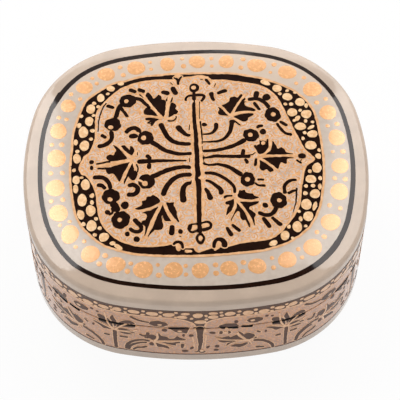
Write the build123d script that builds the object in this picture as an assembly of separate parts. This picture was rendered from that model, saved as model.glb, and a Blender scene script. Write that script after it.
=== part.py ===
"""Papier mache box with a lift-off lid, cushion-shaped in plan, flat underneath.

The paper core of each half is a band of laminated paper, wound round a former,
with a laminated board glued across it.  A coat of gesso, paint and lacquer covers
the outside of each half.  A paper collar glued inside the base stands up past the
seam and centres the lid, which rests on the base's rim and lifts straight off.

Millimetres.  X is the long way, Y the short way, Z up.  The origin is the centre
of the underside.  Every outline is eight tangent arcs, so an inset outline keeps
the same arc centres and has smaller radii.
"""

import math
import os

from build123d import *

# Plan of the finished box, over the lacquer
LENGTH = 114.0  # along X
WIDTH = 103.8  # along Y
LONG_SIDE_RADIUS = 136.0  # the front and back, gently bowed
SHORT_SIDE_RADIUS = 94.0  # the two ends, bowed a little more
CORNER_RADIUS = 37.2

# Heights above the surface that the box stands on
HEIGHT = 40.3
SEAM_HEIGHT = 23.2  # where the lid rests on the base

# Thicknesses
COAT = 0.8  # gesso, paint and lacquer together
BAND = 2.4  # laminated paper wall
BOARD = 2.4  # laminated paper floor, and lid top

# Edges, and the gentle crown of the lid
CORE_BEVEL = 0.6  # sanded off the paper core's outer edges before the gesso
FOOT_BEVEL = 1.1
SHOULDER_RADIUS = 1.8
SEAM_BEVEL = 0.45  # the coat's lip, on both sides of the seam
UNDERSIDE_MARGIN = 4.0  # the wall's coat wraps under the base this far
CROWN_MARGIN = 17.0  # the lid is level inside this margin and rolls off outside it
CROWN_RADIUS = 160.0

# Collar that centres the lid
COLLAR = 1.6  # its thickness where it is glued into the base
COLLAR_GRIP = 7.0  # glued length below the seam
COLLAR_RISE = 5.0  # free length above the seam
COLLAR_FIT = 0.3  # gap all round between the free length and the lid
COLLAR_NOSE = 0.5  # bevel of its upper edges

# Distances in from the finished surface, which follow from the thicknesses
WALL = COAT + BAND  # to the inside of either wall
SHELL = COAT + BOARD  # to the inside of the floor, and of the lid's top

BEVEL_SHARE = 0.8  # the most of a thin edge that its bevel may take
CUT_OVER = 1.0  # how far a cutting tool runs past the face that it cuts
NEAR = 0.01  # an edge within this of a height counts as lying at it


def plan_arcs():
    """The outline as (centre x, centre y, radius, start angle, swept angle)."""
    end_x = LENGTH / 2 - SHORT_SIDE_RADIUS
    back_y = WIDTH / 2 - LONG_SIDE_RADIUS
    # The corner arc is tangent inside both neighbours, which fixes its centre.
    from_end = SHORT_SIDE_RADIUS - CORNER_RADIUS
    from_back = LONG_SIDE_RADIUS - CORNER_RADIUS
    apart = math.hypot(end_x, back_y)
    along = (apart**2 + from_back**2 - from_end**2) / (2 * apart)
    across = math.sqrt(from_back**2 - along**2)
    x = (end_x * along - back_y * across) / apart
    y = back_y - (back_y * along + end_x * across) / apart
    low = math.degrees(math.atan2(y, x - end_x))
    high = math.degrees(math.atan2(y - back_y, x))
    bend = high - low
    return [
        (end_x, 0, SHORT_SIDE_RADIUS, -low, 2 * low),
        (x, y, CORNER_RADIUS, low, bend),
        (0, back_y, LONG_SIDE_RADIUS, high, 180 - 2 * high),
        (-x, y, CORNER_RADIUS, 180 - high, bend),
        (-end_x, 0, SHORT_SIDE_RADIUS, 180 - low, 2 * low),
        (-x, -y, CORNER_RADIUS, 180 + low, bend),
        (0, -back_y, LONG_SIDE_RADIUS, 180 + high, 180 - 2 * high),
        (x, -y, CORNER_RADIUS, 360 - high, bend),
    ]


def slab(inset, bottom, top):
    """Block between two heights, with the outline moved inwards by inset."""
    arcs = [
        CenterArc((x, y), radius - inset, start, swept)
        for x, y, radius, start, swept in plan_arcs()
    ]
    return extrude(Pos(0, 0, bottom) * make_face(arcs), top - bottom)


def hoop(outer_inset, inner_inset, bottom, top):
    """Upright band between two inset outlines."""
    return slab(outer_inset, bottom, top) - slab(inner_inset, bottom, top)


def edges_at(solid, height):
    """The solid's edges that lie level at a height."""
    return solid.edges().filter_by_position(Axis.Z, height - NEAR, height + NEAR)


def crown_drop(inset):
    """How far the lid's crown has fallen at an inset from the outline."""
    return CROWN_RADIUS - math.sqrt(CROWN_RADIUS**2 - (CROWN_MARGIN - inset) ** 2)


def crowned():
    """The finished lid, filled in.

    In section the top is level in the middle, falls in an arc over the margin and
    turns down into the side with a round shoulder.  What lies outside the section
    is turned about the centre of each arc of the outline and cut away.
    """
    depth = HEIGHT - SEAM_HEIGHT
    block = slab(0, SEAM_HEIGHT, HEIGHT)
    for x, y, radius, start, swept in plan_arcs():
        level = Pos(radius - CROWN_MARGIN, HEIGHT)
        kept = level * Rectangle(CROWN_MARGIN, depth, align=(Align.MIN, Align.MAX))
        kept &= level * Pos(0, -CROWN_RADIUS) * Circle(CROWN_RADIUS)
        corner = kept.vertices().group_by(Axis.X)[-1].sort_by(Axis.Y)[-1]
        kept = fillet(corner, SHOULDER_RADIUS)
        waste = level * Pos(0, CUT_OVER) * Rectangle(
            CROWN_MARGIN + CUT_OVER, depth + CUT_OVER, align=(Align.MIN, Align.MAX)
        )
        turn = math.radians(start)
        outwards = Vector(math.cos(turn), math.sin(turn), 0)
        upright = Plane((x, y), x_dir=outwards, z_dir=outwards.cross(Vector(0, 0, 1)))
        block -= revolve(upright * (waste - kept), Axis((x, y, 0), (0, 0, 1)), swept)
    return block


def with_lip(block):
    """The block with the coat's lip bevelled at the seam."""
    return chamfer(edges_at(block, SEAM_HEIGHT), min(SEAM_BEVEL, BEVEL_SHARE * COAT))


def base_outside():
    """The finished base, filled in."""
    block = slab(0, 0, SEAM_HEIGHT)
    return with_lip(chamfer(edges_at(block, 0), FOOT_BEVEL))


def base_core():
    """The base without its coat, filled in."""
    block = slab(COAT, COAT, SEAM_HEIGHT)
    return chamfer(edges_at(block, COAT), CORE_BEVEL)


def base_board():
    """Laminated floor, as wide as the band that stands on it."""
    return base_core() & slab(0, 0, SHELL)


def base_band():
    """Laminated wall of the base, standing on the floor."""
    return hoop(COAT, WALL, SHELL, SEAM_HEIGHT)


def base_underside_coat():
    """Painted underside, which the box stands on."""
    return slab(UNDERSIDE_MARGIN, 0, COAT)


def base_wall_coat():
    """Gesso, paint and lacquer round the base, wrapped under its foot."""
    return base_outside() - base_core() - base_underside_coat()


def locating_collar():
    """Collar glued inside the base, stepped in above the seam to clear the lid."""
    inner = WALL + COLLAR
    top = SEAM_HEIGHT + COLLAR_RISE
    glued = hoop(WALL, inner, SEAM_HEIGHT - COLLAR_GRIP, SEAM_HEIGHT)
    free = hoop(WALL + COLLAR_FIT, inner, SEAM_HEIGHT, top)
    nose = min(COLLAR_NOSE, BEVEL_SHARE * (COLLAR - COLLAR_FIT) / 2)
    return glued + chamfer(edges_at(free, top), nose)


def lid_core():
    """The lid without its coat, filled in, its margin planed down to the crown."""
    top = HEIGHT - COAT
    edge = top - crown_drop(COAT)
    block = slab(COAT, SEAM_HEIGHT, top)
    face = block.faces().sort_by(Axis.Z)[-1]
    block = chamfer(face.edges(), CROWN_MARGIN - COAT, top - edge, reference=face)
    return chamfer(edges_at(block, edge), CORE_BEVEL)


def lid_band():
    """Laminated wall of the lid, which rests on the base's rim."""
    return hoop(COAT, WALL, SEAM_HEIGHT, HEIGHT - SHELL)


def lid_board():
    """Laminated top of the lid, as wide as the band that it is glued to."""
    return lid_core() & slab(0, HEIGHT - SHELL, HEIGHT)


def lid_coat():
    """Gesso, paint and lacquer over the lid."""
    return with_lip(crowned()) - lid_core()


PIECES = [
    base_board,
    base_band,
    base_wall_coat,
    base_underside_coat,
    locating_collar,
    lid_band,
    lid_board,
    lid_coat,
]

os.makedirs("parts", exist_ok=True)
for piece in PIECES:
    export_step(piece(), f"parts/{piece.__name__}.step")
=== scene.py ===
"""Papier mache box with a lift-off lid, painted and lacquered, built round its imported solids."""

import itertools
import math
import random

import bmesh
import bpy
from mathutils import Matrix, Quaternion, Vector, noise


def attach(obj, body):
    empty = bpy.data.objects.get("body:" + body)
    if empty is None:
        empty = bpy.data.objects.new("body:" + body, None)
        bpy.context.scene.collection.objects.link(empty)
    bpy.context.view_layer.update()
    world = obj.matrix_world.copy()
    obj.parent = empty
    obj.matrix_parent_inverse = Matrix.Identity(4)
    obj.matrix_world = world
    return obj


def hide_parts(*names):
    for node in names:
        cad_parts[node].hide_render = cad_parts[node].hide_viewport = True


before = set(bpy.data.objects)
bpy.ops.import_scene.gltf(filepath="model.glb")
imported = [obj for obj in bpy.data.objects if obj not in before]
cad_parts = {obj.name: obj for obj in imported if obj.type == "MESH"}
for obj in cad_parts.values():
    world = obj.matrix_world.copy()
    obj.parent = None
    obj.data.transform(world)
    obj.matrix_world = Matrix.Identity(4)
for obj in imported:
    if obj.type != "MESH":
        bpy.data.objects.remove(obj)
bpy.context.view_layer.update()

# ---------------------------------------------------------------- studio
# A white table top in a room with pale walls and a dark ceiling.  Two soft boxes hang
# high behind the box, one on each side, and a broad one stands low behind it.
MM = 0.001
scene = bpy.context.scene
scene.view_settings.view_transform = "Standard"

LOOK_AT = Vector((1.3, -1.33, 20.15)) * MM
CAMERA_TURN = 180.76
CAMERA_RISE = 58.34
CAMERA_DISTANCE = 575.7 * MM
LENS = 153.17


def direction(turn, rise):
    """Away from the box, turn degrees round from straight behind it and rise degrees up."""
    level = math.cos(math.radians(rise))
    return Vector(
        (
            math.sin(math.radians(turn)) * level,
            math.cos(math.radians(turn)) * level,
            math.sin(math.radians(rise)),
        )
    )


bpy.ops.object.select_all(action="DESELECT")
away = direction(CAMERA_TURN, CAMERA_RISE)
bpy.ops.object.camera_add(location=LOOK_AT + away * CAMERA_DISTANCE)
camera = bpy.context.object
camera.rotation_euler = away.to_track_quat("Z", "Y").to_euler()
camera.data.lens = LENS
camera.data.sensor_width = 36.0
camera.data.clip_start = 0.01
camera.data.clip_end = 20.0
scene.camera = camera

TABLE_SIZE = 6.0
bpy.ops.mesh.primitive_plane_add(size=TABLE_SIZE)
table = bpy.context.object
table.name = "table_top"


def node(tree, kind, inputs=None, **settings):
    """A new shader node.  An input given as a socket is wired, any other is set."""
    made = tree.nodes.new("ShaderNode" + kind)
    for setting, value in settings.items():
        setattr(made, setting, value)
    for name, value in (inputs or {}).items():
        if isinstance(value, bpy.types.NodeSocket):
            tree.links.new(value, made.inputs[name])
        else:
            made.inputs[name].default_value = value
    return made


TABLE_WHITE = (0.92, 0.92, 0.92, 1)
TABLE_GLOW = 0.94
table_paint = bpy.data.materials.new("white_table")
table_paint.use_nodes = True
tree = table_paint.node_tree
tree.nodes.remove(tree.nodes["Principled BSDF"])
matt_white = node(tree, "BsdfDiffuse", {"Color": TABLE_WHITE})
paper_white = node(tree, "Emission", {"Strength": 1.0})
rays = node(tree, "LightPath").outputs
seen = node(tree, "Math", {0: rays["Is Camera Ray"], 1: rays["Is Glossy Ray"]}, operation="MAXIMUM")
seen = node(tree, "Math", {0: seen.outputs[0], 1: rays["Is Transmission Ray"]}, operation="MAXIMUM")
share = node(tree, "Math", {0: seen.outputs[0], 1: TABLE_GLOW}, operation="MULTIPLY")
shaders = {1: matt_white.outputs[0], 2: paper_white.outputs[0]}
blend = node(tree, "MixShader", {"Fac": share.outputs[0], **shaders})
tree.links.new(blend.outputs[0], tree.nodes["Material Output"].inputs["Surface"])
table.data.materials.append(table_paint)

ROOM_TINT = (1.0, 0.985, 0.97, 1)
WALLS_END = 0.69
CEILING_STARTS = 0.84
WALL_GLOW = 0.85
CEILING_GLOW = 0.02
room = bpy.data.worlds.new("soft_room")
room.use_nodes = True
tree = room.node_tree
towards = node(tree, "TexCoord")
up = node(tree, "SeparateXYZ", {"Vector": towards.outputs["Generated"]})
fall = node(tree, "MapRange", {"Value": up.outputs["Z"]}, interpolation_type="SMOOTHSTEP")
fall.inputs["From Min"].default_value = WALLS_END
fall.inputs["From Max"].default_value = CEILING_STARTS
fall.inputs["To Min"].default_value = WALL_GLOW
fall.inputs["To Max"].default_value = CEILING_GLOW
rays = node(tree, "LightPath").outputs
backdrop = node(tree, "Mix", {"Factor": rays["Is Camera Ray"], "A": fall.outputs["Result"], "B": 1.0})
tree.nodes["Background"].inputs["Color"].default_value = ROOM_TINT
tree.links.new(backdrop.outputs["Result"], tree.nodes["Background"].inputs["Strength"])
scene.world = room


def soft_box(name, turn, rise, distance, width, height, roll, watts):
    """A soft box aimed at the lid, turn degrees round from straight behind the box."""
    towards = direction(turn, rise)
    bpy.ops.object.light_add(type="AREA", location=LOOK_AT + towards * distance)
    lamp = bpy.context.object
    lamp.name = name
    spin = Quaternion((0, 0, 1), math.radians(roll))
    lamp.rotation_euler = (towards.to_track_quat("Z", "Y") @ spin).to_euler()
    lamp.data.shape = "RECTANGLE"
    lamp.data.size = width
    lamp.data.size_y = height
    lamp.data.energy = watts


soft_box("soft_box_left", -36, 55, 1.2, 0.46, 0.5, roll=-2, watts=3.6)
soft_box("soft_box_right", 36, 55, 1.2, 0.46, 0.5, roll=2, watts=2.9)
soft_box("soft_box_back", 0, 32, 1.5, 2.0, 0.65, roll=0, watts=10.6)

# ------------------------------------------------------------ paper shells
# The body of each half is a band of paper laminated on a cushion-shaped former, with
# a board glued across it.  The inside is brushed with black paint and a thin lacquer.
LENGTH = 114.0
WIDTH = 103.8
HEIGHT = 40.3
SEAM = 23.2
SIDE_ARC = 136.0
END_ARC = 94.0
CORNER_ARC = 37.2
CORNER_X = 18.294
CORNER_Y = 12.991
END_X = LENGTH / 2 - END_ARC
SIDE_Y = WIDTH / 2 - SIDE_ARC
END_TURN = math.atan2(CORNER_Y, CORNER_X - END_X)
SIDE_TURN = math.atan2(CORNER_X, CORNER_Y - SIDE_Y)
SIDE_RUN = SIDE_ARC * SIDE_TURN
CORNER_RUN = CORNER_ARC * (math.pi / 2 - END_TURN - SIDE_TURN)
QUARTER = SIDE_RUN + CORNER_RUN + END_ARC * END_TURN
ROUND = 4 * QUARTER
RIM_STEPS = 384
SMOOTH_UP_TO = math.radians(35)


def rim(walk, inset=0.0):
    """Point of the plan's outline, in mm, walk mm round from the middle of the front.

    The outline is eight tangent arcs, so an inset point lies on a smaller, parallel one.
    """
    walk %= ROUND
    quarter = int(walk // QUARTER)
    along = (walk, 2 * QUARTER - walk, walk - 2 * QUARTER, ROUND - walk)[quarter]
    if along <= SIDE_RUN:
        turn = along / SIDE_ARC
        x = (SIDE_ARC - inset) * math.sin(turn)
        y = SIDE_Y + (SIDE_ARC - inset) * math.cos(turn)
    elif along <= SIDE_RUN + CORNER_RUN:
        turn = SIDE_TURN + (along - SIDE_RUN) / CORNER_ARC
        x = CORNER_X + (CORNER_ARC - inset) * math.sin(turn)
        y = CORNER_Y + (CORNER_ARC - inset) * math.cos(turn)
    else:
        turn = math.pi / 2 - (QUARTER - along) / END_ARC
        x = END_X + (END_ARC - inset) * math.sin(turn)
        y = (END_ARC - inset) * math.cos(turn)
    return (x if quarter < 2 else -x, -y if quarter in (0, 3) else y)


def swept(name, section, closed=True):
    """A strip of one section all the way round the box, extruded point by point.

    The section is (inset, height) points in mm.  An open one is capped at both ends.
    """
    bpy.ops.object.select_all(action="DESELECT")
    bpy.ops.mesh.primitive_circle_add(vertices=RIM_STEPS, radius=LENGTH / 2 * MM)
    strip = bpy.context.object
    strip.name = name
    strip.data.name = name
    bpy.ops.object.mode_set(mode="EDIT")
    bpy.ops.mesh.select_all(action="SELECT")
    mesh = bmesh.from_edit_mesh(strip.data)
    walked = mesh.verts.layers.float.new("walk")
    mesh.verts.ensure_lookup_table()
    for step, corner in enumerate(mesh.verts):
        corner[walked] = ROUND * step / RIM_STEPS
    stops = section + section[:1] if closed else section
    for number, (inset, height) in enumerate(stops):
        if number:
            bpy.ops.mesh.extrude_region()
            mesh = bmesh.from_edit_mesh(strip.data)
            walked = mesh.verts.layers.float["walk"]
        for corner in mesh.verts:
            if corner.select:
                x, y = rim(corner[walked], inset)
                corner.co = Vector((x, y, height)) * MM
        bmesh.update_edit_mesh(strip.data)
    bpy.ops.mesh.select_all(action="SELECT")
    if closed:
        bpy.ops.mesh.remove_doubles(threshold=0.002 * MM)
    else:
        bpy.ops.mesh.fill_holes(sides=0)
        bpy.ops.mesh.select_all(action="SELECT")
    bpy.ops.mesh.normals_make_consistent(inside=False)
    bpy.ops.object.mode_set(mode="OBJECT")
    bpy.ops.object.shade_smooth_by_angle(angle=SMOOTH_UP_TO)
    return strip


def tones(tree, mottle, low, dark, high, pale):
    """A colour between dark and pale, by a mottle between low and high."""
    ramp = node(tree, "ValToRGB", {"Fac": mottle})
    for element, place, colour in zip(ramp.color_ramp.elements, (low, high), (dark, pale)):
        element.position = place
        element.color = (*colour, 1)
    return ramp.outputs["Color"]


FLOW = 7.0
MOTTLE_LOW = 0.36
MOTTLE_HIGH = 0.64
WEAR = 0.08


def paint(name, dark, pale, grain, roughness, metal=0.0, gloss=0.05, ripple=0.02, shine=0.02, coat=1.0):
    """Brushed paint under clear lacquer, mottled between two colours.

    grain is the size of the mottle in mm, gloss the roughness of the lacquer, ripple how
    much its skin waves, shine the paint's own specular level and coat the share of the
    lacquer that is left on it.
    """
    material = bpy.data.materials.new(name)
    material.use_nodes = True
    tree = material.node_tree
    shader = tree.nodes["Principled BSDF"].inputs
    shader["Metallic"].default_value = metal
    shader["IOR"].default_value = 1.5
    shader["Specular IOR Level"].default_value = shine
    shader["Coat Weight"].default_value = coat
    shader["Coat Roughness"].default_value = gloss
    shader["Coat IOR"].default_value = 1.5
    place = node(tree, "TexCoord").outputs["Object"]
    cloud = node(tree, "TexNoise", {"Vector": place, "Scale": 1 / (grain * MM), "Detail": 4.0})
    cloud.inputs["Roughness"].default_value = 0.6
    mottle = cloud.outputs["Fac"]
    tree.links.new(tones(tree, mottle, MOTTLE_LOW, dark, MOTTLE_HIGH, pale), shader["Base Color"])
    wear = node(tree, "MapRange", {"Value": mottle, "From Min": 0.3, "From Max": 0.7})
    wear.inputs["To Min"].default_value = roughness - WEAR
    wear.inputs["To Max"].default_value = roughness + WEAR
    tree.links.new(wear.outputs["Result"], shader["Roughness"])
    flow = node(tree, "TexNoise", {"Vector": place, "Scale": 1 / (FLOW * MM), "Detail": 2.0})
    skin = node(tree, "Bump", {"Height": flow.outputs["Fac"], "Strength": ripple, "Distance": 1.0 * MM})
    tree.links.new(skin.outputs["Normal"], shader["Normal"])
    tree.links.new(skin.outputs["Normal"], shader["Coat Normal"])
    return material


def coloured(piece, material):
    """Gives a piece one paint all over."""
    piece.data.materials.clear()
    piece.data.materials.append(material)


def dress(piece, body, slot, material, *stands_for):
    """Gives a finished piece its paint, and its place in the frame."""
    coloured(piece, material)
    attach(piece, body)
    if stands_for:
        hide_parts(*stands_for)


COAT = 0.8
WALL = 3.2
SHELL = 3.2
EASED = 0.15
lining = paint("black_lining", (0.010, 0.009, 0.009), (0.024, 0.022, 0.021), 5.0, 0.6, gloss=0.22, ripple=0.1)
coloured(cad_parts["base_board"], lining)
coloured(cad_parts["lid_board"], lining)
base_wall = swept(
    "base_paper_wall",
    [(COAT, SHELL), (WALL, SHELL), (WALL, SEAM - EASED), (WALL - EASED, SEAM), (COAT, SEAM)],
)
dress(base_wall, "base", "paper_board", lining, "base_band")
lid_wall = swept(
    "lid_paper_wall",
    [
        (COAT, SEAM),
        (WALL - EASED, SEAM),
        (WALL, SEAM + EASED),
        (WALL, HEIGHT - SHELL),
        (COAT, HEIGHT - SHELL),
    ],
)
dress(lid_wall, "lid", "paper_board", lining, "lid_band")

# ------------------------------------------------------------------ collar
# A second, narrower band of paper glued inside the base stands up past the seam
# and centres the lid.  Its free part is rubbed down, painted black and polished.
COLLAR_IN = 4.8
COLLAR_OUT = 3.5
COLLAR_FOOT = 16.2
COLLAR_TOP = 28.2
NOSE = 0.5
BEVEL = 0.3
COLLAR_DARK = (0.008, 0.007, 0.007)
COLLAR_PALE = (0.02, 0.018, 0.016)
collar_paint = paint("black_collar", COLLAR_DARK, COLLAR_PALE, 3.0, 0.45, gloss=0.12, ripple=0.08)
collar = swept(
    "lid_collar",
    [
        (WALL, COLLAR_FOOT),
        (COLLAR_IN - BEVEL, COLLAR_FOOT),
        (COLLAR_IN, COLLAR_FOOT + BEVEL),
        (COLLAR_IN, COLLAR_TOP - NOSE),
        (COLLAR_IN - EASED, COLLAR_TOP - EASED),
        (COLLAR_IN - NOSE, COLLAR_TOP),
        (COLLAR_OUT + NOSE, COLLAR_TOP),
        (COLLAR_OUT + EASED, COLLAR_TOP - EASED),
        (COLLAR_OUT, COLLAR_TOP - NOSE),
        (COLLAR_OUT, SEAM),
        (WALL, SEAM),
    ],
)
dress(collar, "base", "paper_board", collar_paint, "locating_collar")

# --------------------------------------------------------------- base coat
# Gesso rubbed smooth round the base and wrapped under its foot, painted cream,
# with a small bevelled lip at the seam.  The ornament's paint lies on top of it.
GROUND = 0.14
LIP = 0.45
FOOT = 1.1
UNDERSIDE_MARGIN = 4.0
cream = paint("cream_lacquer", (0.53, 0.415, 0.328), (0.60, 0.471, 0.372), 9.0, 0.42)
foot = []
for step in range(7):
    turn = math.pi / 2 * step / 6
    foot.append((GROUND + FOOT * (1 - math.sin(turn)), FOOT * (1 - math.cos(turn))))
base_coat = swept(
    "base_cream_coat",
    [(UNDERSIDE_MARGIN, COAT), (UNDERSIDE_MARGIN, 0.0)]
    + foot
    + [
        (GROUND, 8.0),
        (GROUND, 15.0),
        (GROUND, SEAM - LIP),
        (GROUND + LIP, SEAM),
        (COAT, SEAM),
        (COAT, COAT),
    ],
)
dress(base_coat, "base", "lacquered_coat", cream, "base_wall_coat")

# ---------------------------------------------------------- underside coat
# The flat that the box stands on is brushed with black paint and thin lacquer,
# inside the margin that the wall's coat leaves, and left plain.
UNDER_DARK = (0.012, 0.011, 0.011)
UNDER_PALE = (0.03, 0.027, 0.025)
underside = paint("black_underside", UNDER_DARK, UNDER_PALE, 4.0, 0.5, gloss=0.2, ripple=0.12)
coloured(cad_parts["base_underside_coat"], underside)

# ---------------------------------------------------------------- lid coat
# The same gesso and cream paint over the lid.  The top is level in the middle
# and rolls off to a round shoulder in the last 17 mm before the edge.
CROWN_MARGIN = 17.0
CROWN_RADIUS = 160.0
SHOULDER = 1.8
SHOULDER_RISE = math.sqrt((CROWN_RADIUS - SHOULDER) ** 2 - (CROWN_MARGIN - SHOULDER) ** 2)
SHOULDER_Z = HEIGHT - CROWN_RADIUS + SHOULDER_RISE
SHOULDER_TURN = math.acos((CROWN_MARGIN - SHOULDER) / (CROWN_RADIUS - SHOULDER))


def crown(inset):
    """Height of the lid's finished top at an inset from the outline."""
    if inset >= CROWN_MARGIN:
        return HEIGHT
    return HEIGHT - CROWN_RADIUS + math.sqrt(CROWN_RADIUS**2 - (CROWN_MARGIN - inset) ** 2)


shoulder = []
for step in range(11):
    turn = SHOULDER_TURN * step / 10
    reach = SHOULDER - GROUND
    shoulder.append((SHOULDER - reach * math.cos(turn), SHOULDER_Z + reach * math.sin(turn)))
over_crown = []
for inset in (2.6, 4.0, 5.5, 7.0, 8.5, 10.0, 11.5, 13.0, 14.5, 16.0, CROWN_MARGIN):
    over_crown.append((inset, crown(inset) - GROUND))
lid_coat = swept(
    "lid_cream_coat",
    [
        (CROWN_MARGIN, HEIGHT - COAT),
        (COAT, crown(COAT) - COAT),
        (COAT, SEAM),
        (GROUND + LIP, SEAM),
        (GROUND, SEAM + LIP),
        (GROUND, 31.0),
    ]
    + shoulder
    + over_crown,
    closed=False,
)
dress(lid_coat, "lid", "lacquered_coat", cream, "lid_coat")

# --------------------------------------------------- ring round the lid's top
# A cooler wash of cream between the black rule and the panel carries a ring of gold
# daubs, each set down with one turn of a loaded brush, and two dots between each two.
RING_OUT = 6.1
RING_IN = 16.6
WASH_DEPTH = 0.12
WASH_BED = 0.4
# Painted light: towards the back of the lid the wash is blended into a paler cream, as if lit from behind.
BACK_LIGHT_FROM = 20.0
BACK_LIGHT_TO = 42.0
BACK_LIGHT_SHARE = 0.75
BACK_LIT_CREAM = (0.74, 0.58, 0.45, 1)
ring_wash = paint("cream_wash", (0.55, 0.455, 0.38), (0.61, 0.515, 0.435), 2.2, 0.42, gloss=0.12)
tree = ring_wash.node_tree
base_colour = tree.nodes["Principled BSDF"].inputs["Base Color"]
# The blend follows Y across the lid and grows paler towards the back: painted light from behind.
across_lid = node(tree, "SeparateXYZ", {"Vector": tree.nodes["Texture Coordinate"].outputs["Object"]})
painted_back_light = node(tree, "MapRange", {"Value": across_lid.outputs["Y"], "To Max": BACK_LIGHT_SHARE})
painted_back_light.inputs["From Min"].default_value = BACK_LIGHT_FROM * MM
painted_back_light.inputs["From Max"].default_value = BACK_LIGHT_TO * MM
washed = base_colour.links[0].from_socket
blends = {"Factor": painted_back_light.outputs["Result"], "A": washed, "B": BACK_LIT_CREAM}
back_lit_wash = node(tree, "Mix", blends, data_type="RGBA")
tree.links.new(back_lit_wash.outputs["Result"], base_colour)
ring_insets = [RING_OUT + (RING_IN - RING_OUT) * step / 8 for step in range(9)]
ring = swept(
    "lid_ring_wash",
    [(inset, crown(inset) - WASH_DEPTH) for inset in ring_insets]
    + [(RING_IN, crown(RING_IN) - WASH_BED), (RING_OUT, crown(RING_OUT) - WASH_BED)],
)
dress(ring, "lid", "lacquered_coat", ring_wash)


def inset_at(x, y):
    """How far a point of the plan lies inside the outline."""
    x, y = abs(x), abs(y)
    inside = [CROWN_MARGIN + 10]
    if math.atan2(y, x - END_X) <= END_TURN:
        inside.append(END_ARC - math.hypot(x - END_X, y))
    if math.atan2(x, y - SIDE_Y) <= SIDE_TURN:
        inside.append(SIDE_ARC - math.hypot(x, y - SIDE_Y))
    if END_TURN <= math.atan2(y - CORNER_Y, x - CORNER_X) <= math.pi / 2 - SIDE_TURN:
        inside.append(CORNER_ARC - math.hypot(x - CORNER_X, y - CORNER_Y))
    return min(inside)


def flowing(points, closed=False, step=0.35):
    """Close points along the smooth line that a brush draws through the given ones."""
    marks = [Vector(point) for point in points]
    if closed:
        marks = [marks[-1]] + marks + marks[:2]
    else:
        marks = [marks[0] * 2 - marks[1]] + marks + [marks[-1] * 2 - marks[-2]]
    line = []
    for before, start, end, after in zip(marks, marks[1:], marks[2:], marks[3:]):
        pieces = max(2, math.ceil((end - start).length / step))
        for piece in range(pieces):
            t = piece / pieces
            straight = 2 * start + (end - before) * t
            bent = (2 * before - 5 * start + 4 * end - after) * t**2
            twisted = (3 * start - before - 3 * end + after) * t**3
            line.append((straight + bent + twisted) / 2)
    if not closed:
        line.append(marks[-2])
    return line


# Strokes that cross lie one over the other, so each takes the next of five thin layers.
LAYER = 0.003
layers = itertools.cycle([LAYER * MM * step for step in range(5)])
ROUND_END = (0, 0.04, 0.15, 0.35, 0.65)
STROKE_STEP = 0.4


def strokes(name, lines, grow=0.0):
    """Brush strokes, flat: each is (points, width at its start, width at its end), in mm.

    The ends are round.  grow widens all of them by that much on every side.
    """
    bpy.ops.object.select_all(action="DESELECT")
    bpy.ops.curve.primitive_bezier_curve_add()
    drawn = bpy.context.object
    drawn.name = name
    drawn.data.splines.clear()
    drawn.data.dimensions = "3D"
    drawn.data.twist_mode = "Z_UP"
    drawn.data.extrude = 1.0
    for points, first, last in lines:
        line = flowing(points)
        line.insert(0, line[0] + (line[0] - line[1]).normalized() * (grow + 0.001))
        line.append(line[-1] + (line[-1] - line[-2]).normalized() * (grow + 0.001))
        reach = [0.0]
        for start, end in zip(line, line[1:]):
            reach.append(reach[-1] + (end - start).length)
        total = reach[-1]
        caps = [min(width / 2 + grow, total / 2) for width in (first, last)]
        middle = total - caps[0] - caps[1]
        stops = [caps[0] * part for part in ROUND_END]
        pieces = max(1, math.ceil(middle / STROKE_STEP))
        stops += [caps[0] + middle * piece / pieces for piece in range(pieces + 1)]
        stops += [total - caps[1] * part for part in reversed(ROUND_END)]
        spline = drawn.data.splines.new("POLY")
        spline.points.add(len(stops) - 1)
        leg = 0
        over = next(layers)
        for point, stop in zip(spline.points, stops):
            while leg < len(line) - 2 and reach[leg + 1] < stop:
                leg += 1
            part = (stop - reach[leg]) / max(reach[leg + 1] - reach[leg], 1e-9)
            place = line[leg].lerp(line[leg + 1], part)
            width = first + (last - first) * stop / total
            near = min(stop / caps[0], (total - stop) / caps[1], 1.0)
            round_end = max(math.sqrt(max(1 - (1 - near) ** 2, 0)), 0.06)
            point.co = (place.x * MM, place.y * MM, over, 1)
            point.radius = (width / 2 + grow) * round_end * MM
            point.tilt = math.pi / 2
    bpy.ops.object.convert(target="MESH")
    drawn = bpy.context.object
    for polygon in drawn.data.polygons:
        if polygon.normal.z < 0:
            polygon.flip()
    drawn.data.update()
    return drawn


def patch(outline):
    """A filled patch of paint, flat, inside a smooth closed outline in mm."""
    line = flowing(outline, closed=True, step=0.5)
    turned = sum(a.x * b.y - a.y * b.x for a, b in zip(line, line[1:] + line[:1]))
    if turned < 0:
        line.reverse()
    bpy.ops.mesh.primitive_circle_add(vertices=len(line), radius=MM, fill_type="NGON")
    filled = bpy.context.object
    over = next(layers)
    for corner, place in zip(filled.data.vertices, line):
        corner.co = (place.x * MM, place.y * MM, over)
    filled.data.update()
    return filled


hand = random.Random(7)


def daub(x, y, across, along=None, tilt=0.0, petals=0):
    """A flat daub of paint: its middle, half sizes and turn.  petals scallops it."""
    along = along or across
    steps = 10 if across < 1 else 36 if petals else 24
    bpy.ops.mesh.primitive_circle_add(vertices=steps, radius=MM, fill_type="NGON")
    spot = bpy.context.object
    lean = [hand.uniform(0, 2 * math.pi) for _ in range(3)]
    over = next(layers)
    for step, corner in enumerate(spot.data.vertices):
        turn = 2 * math.pi * step / steps
        size = 1 + 0.035 * math.cos(2 * turn + lean[0]) + 0.025 * math.cos(3 * turn + lean[1])
        if petals:
            size += 0.09 * abs(math.sin(petals * turn / 2 + lean[2])) - 0.05
        place = Vector((across * size * math.cos(turn), along * size * math.sin(turn)))
        place.rotate(Matrix.Rotation(math.radians(tilt), 2))
        corner.co = ((x + place.x) * MM, (y + place.y) * MM, over)
    spot.data.update()
    return spot


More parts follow.
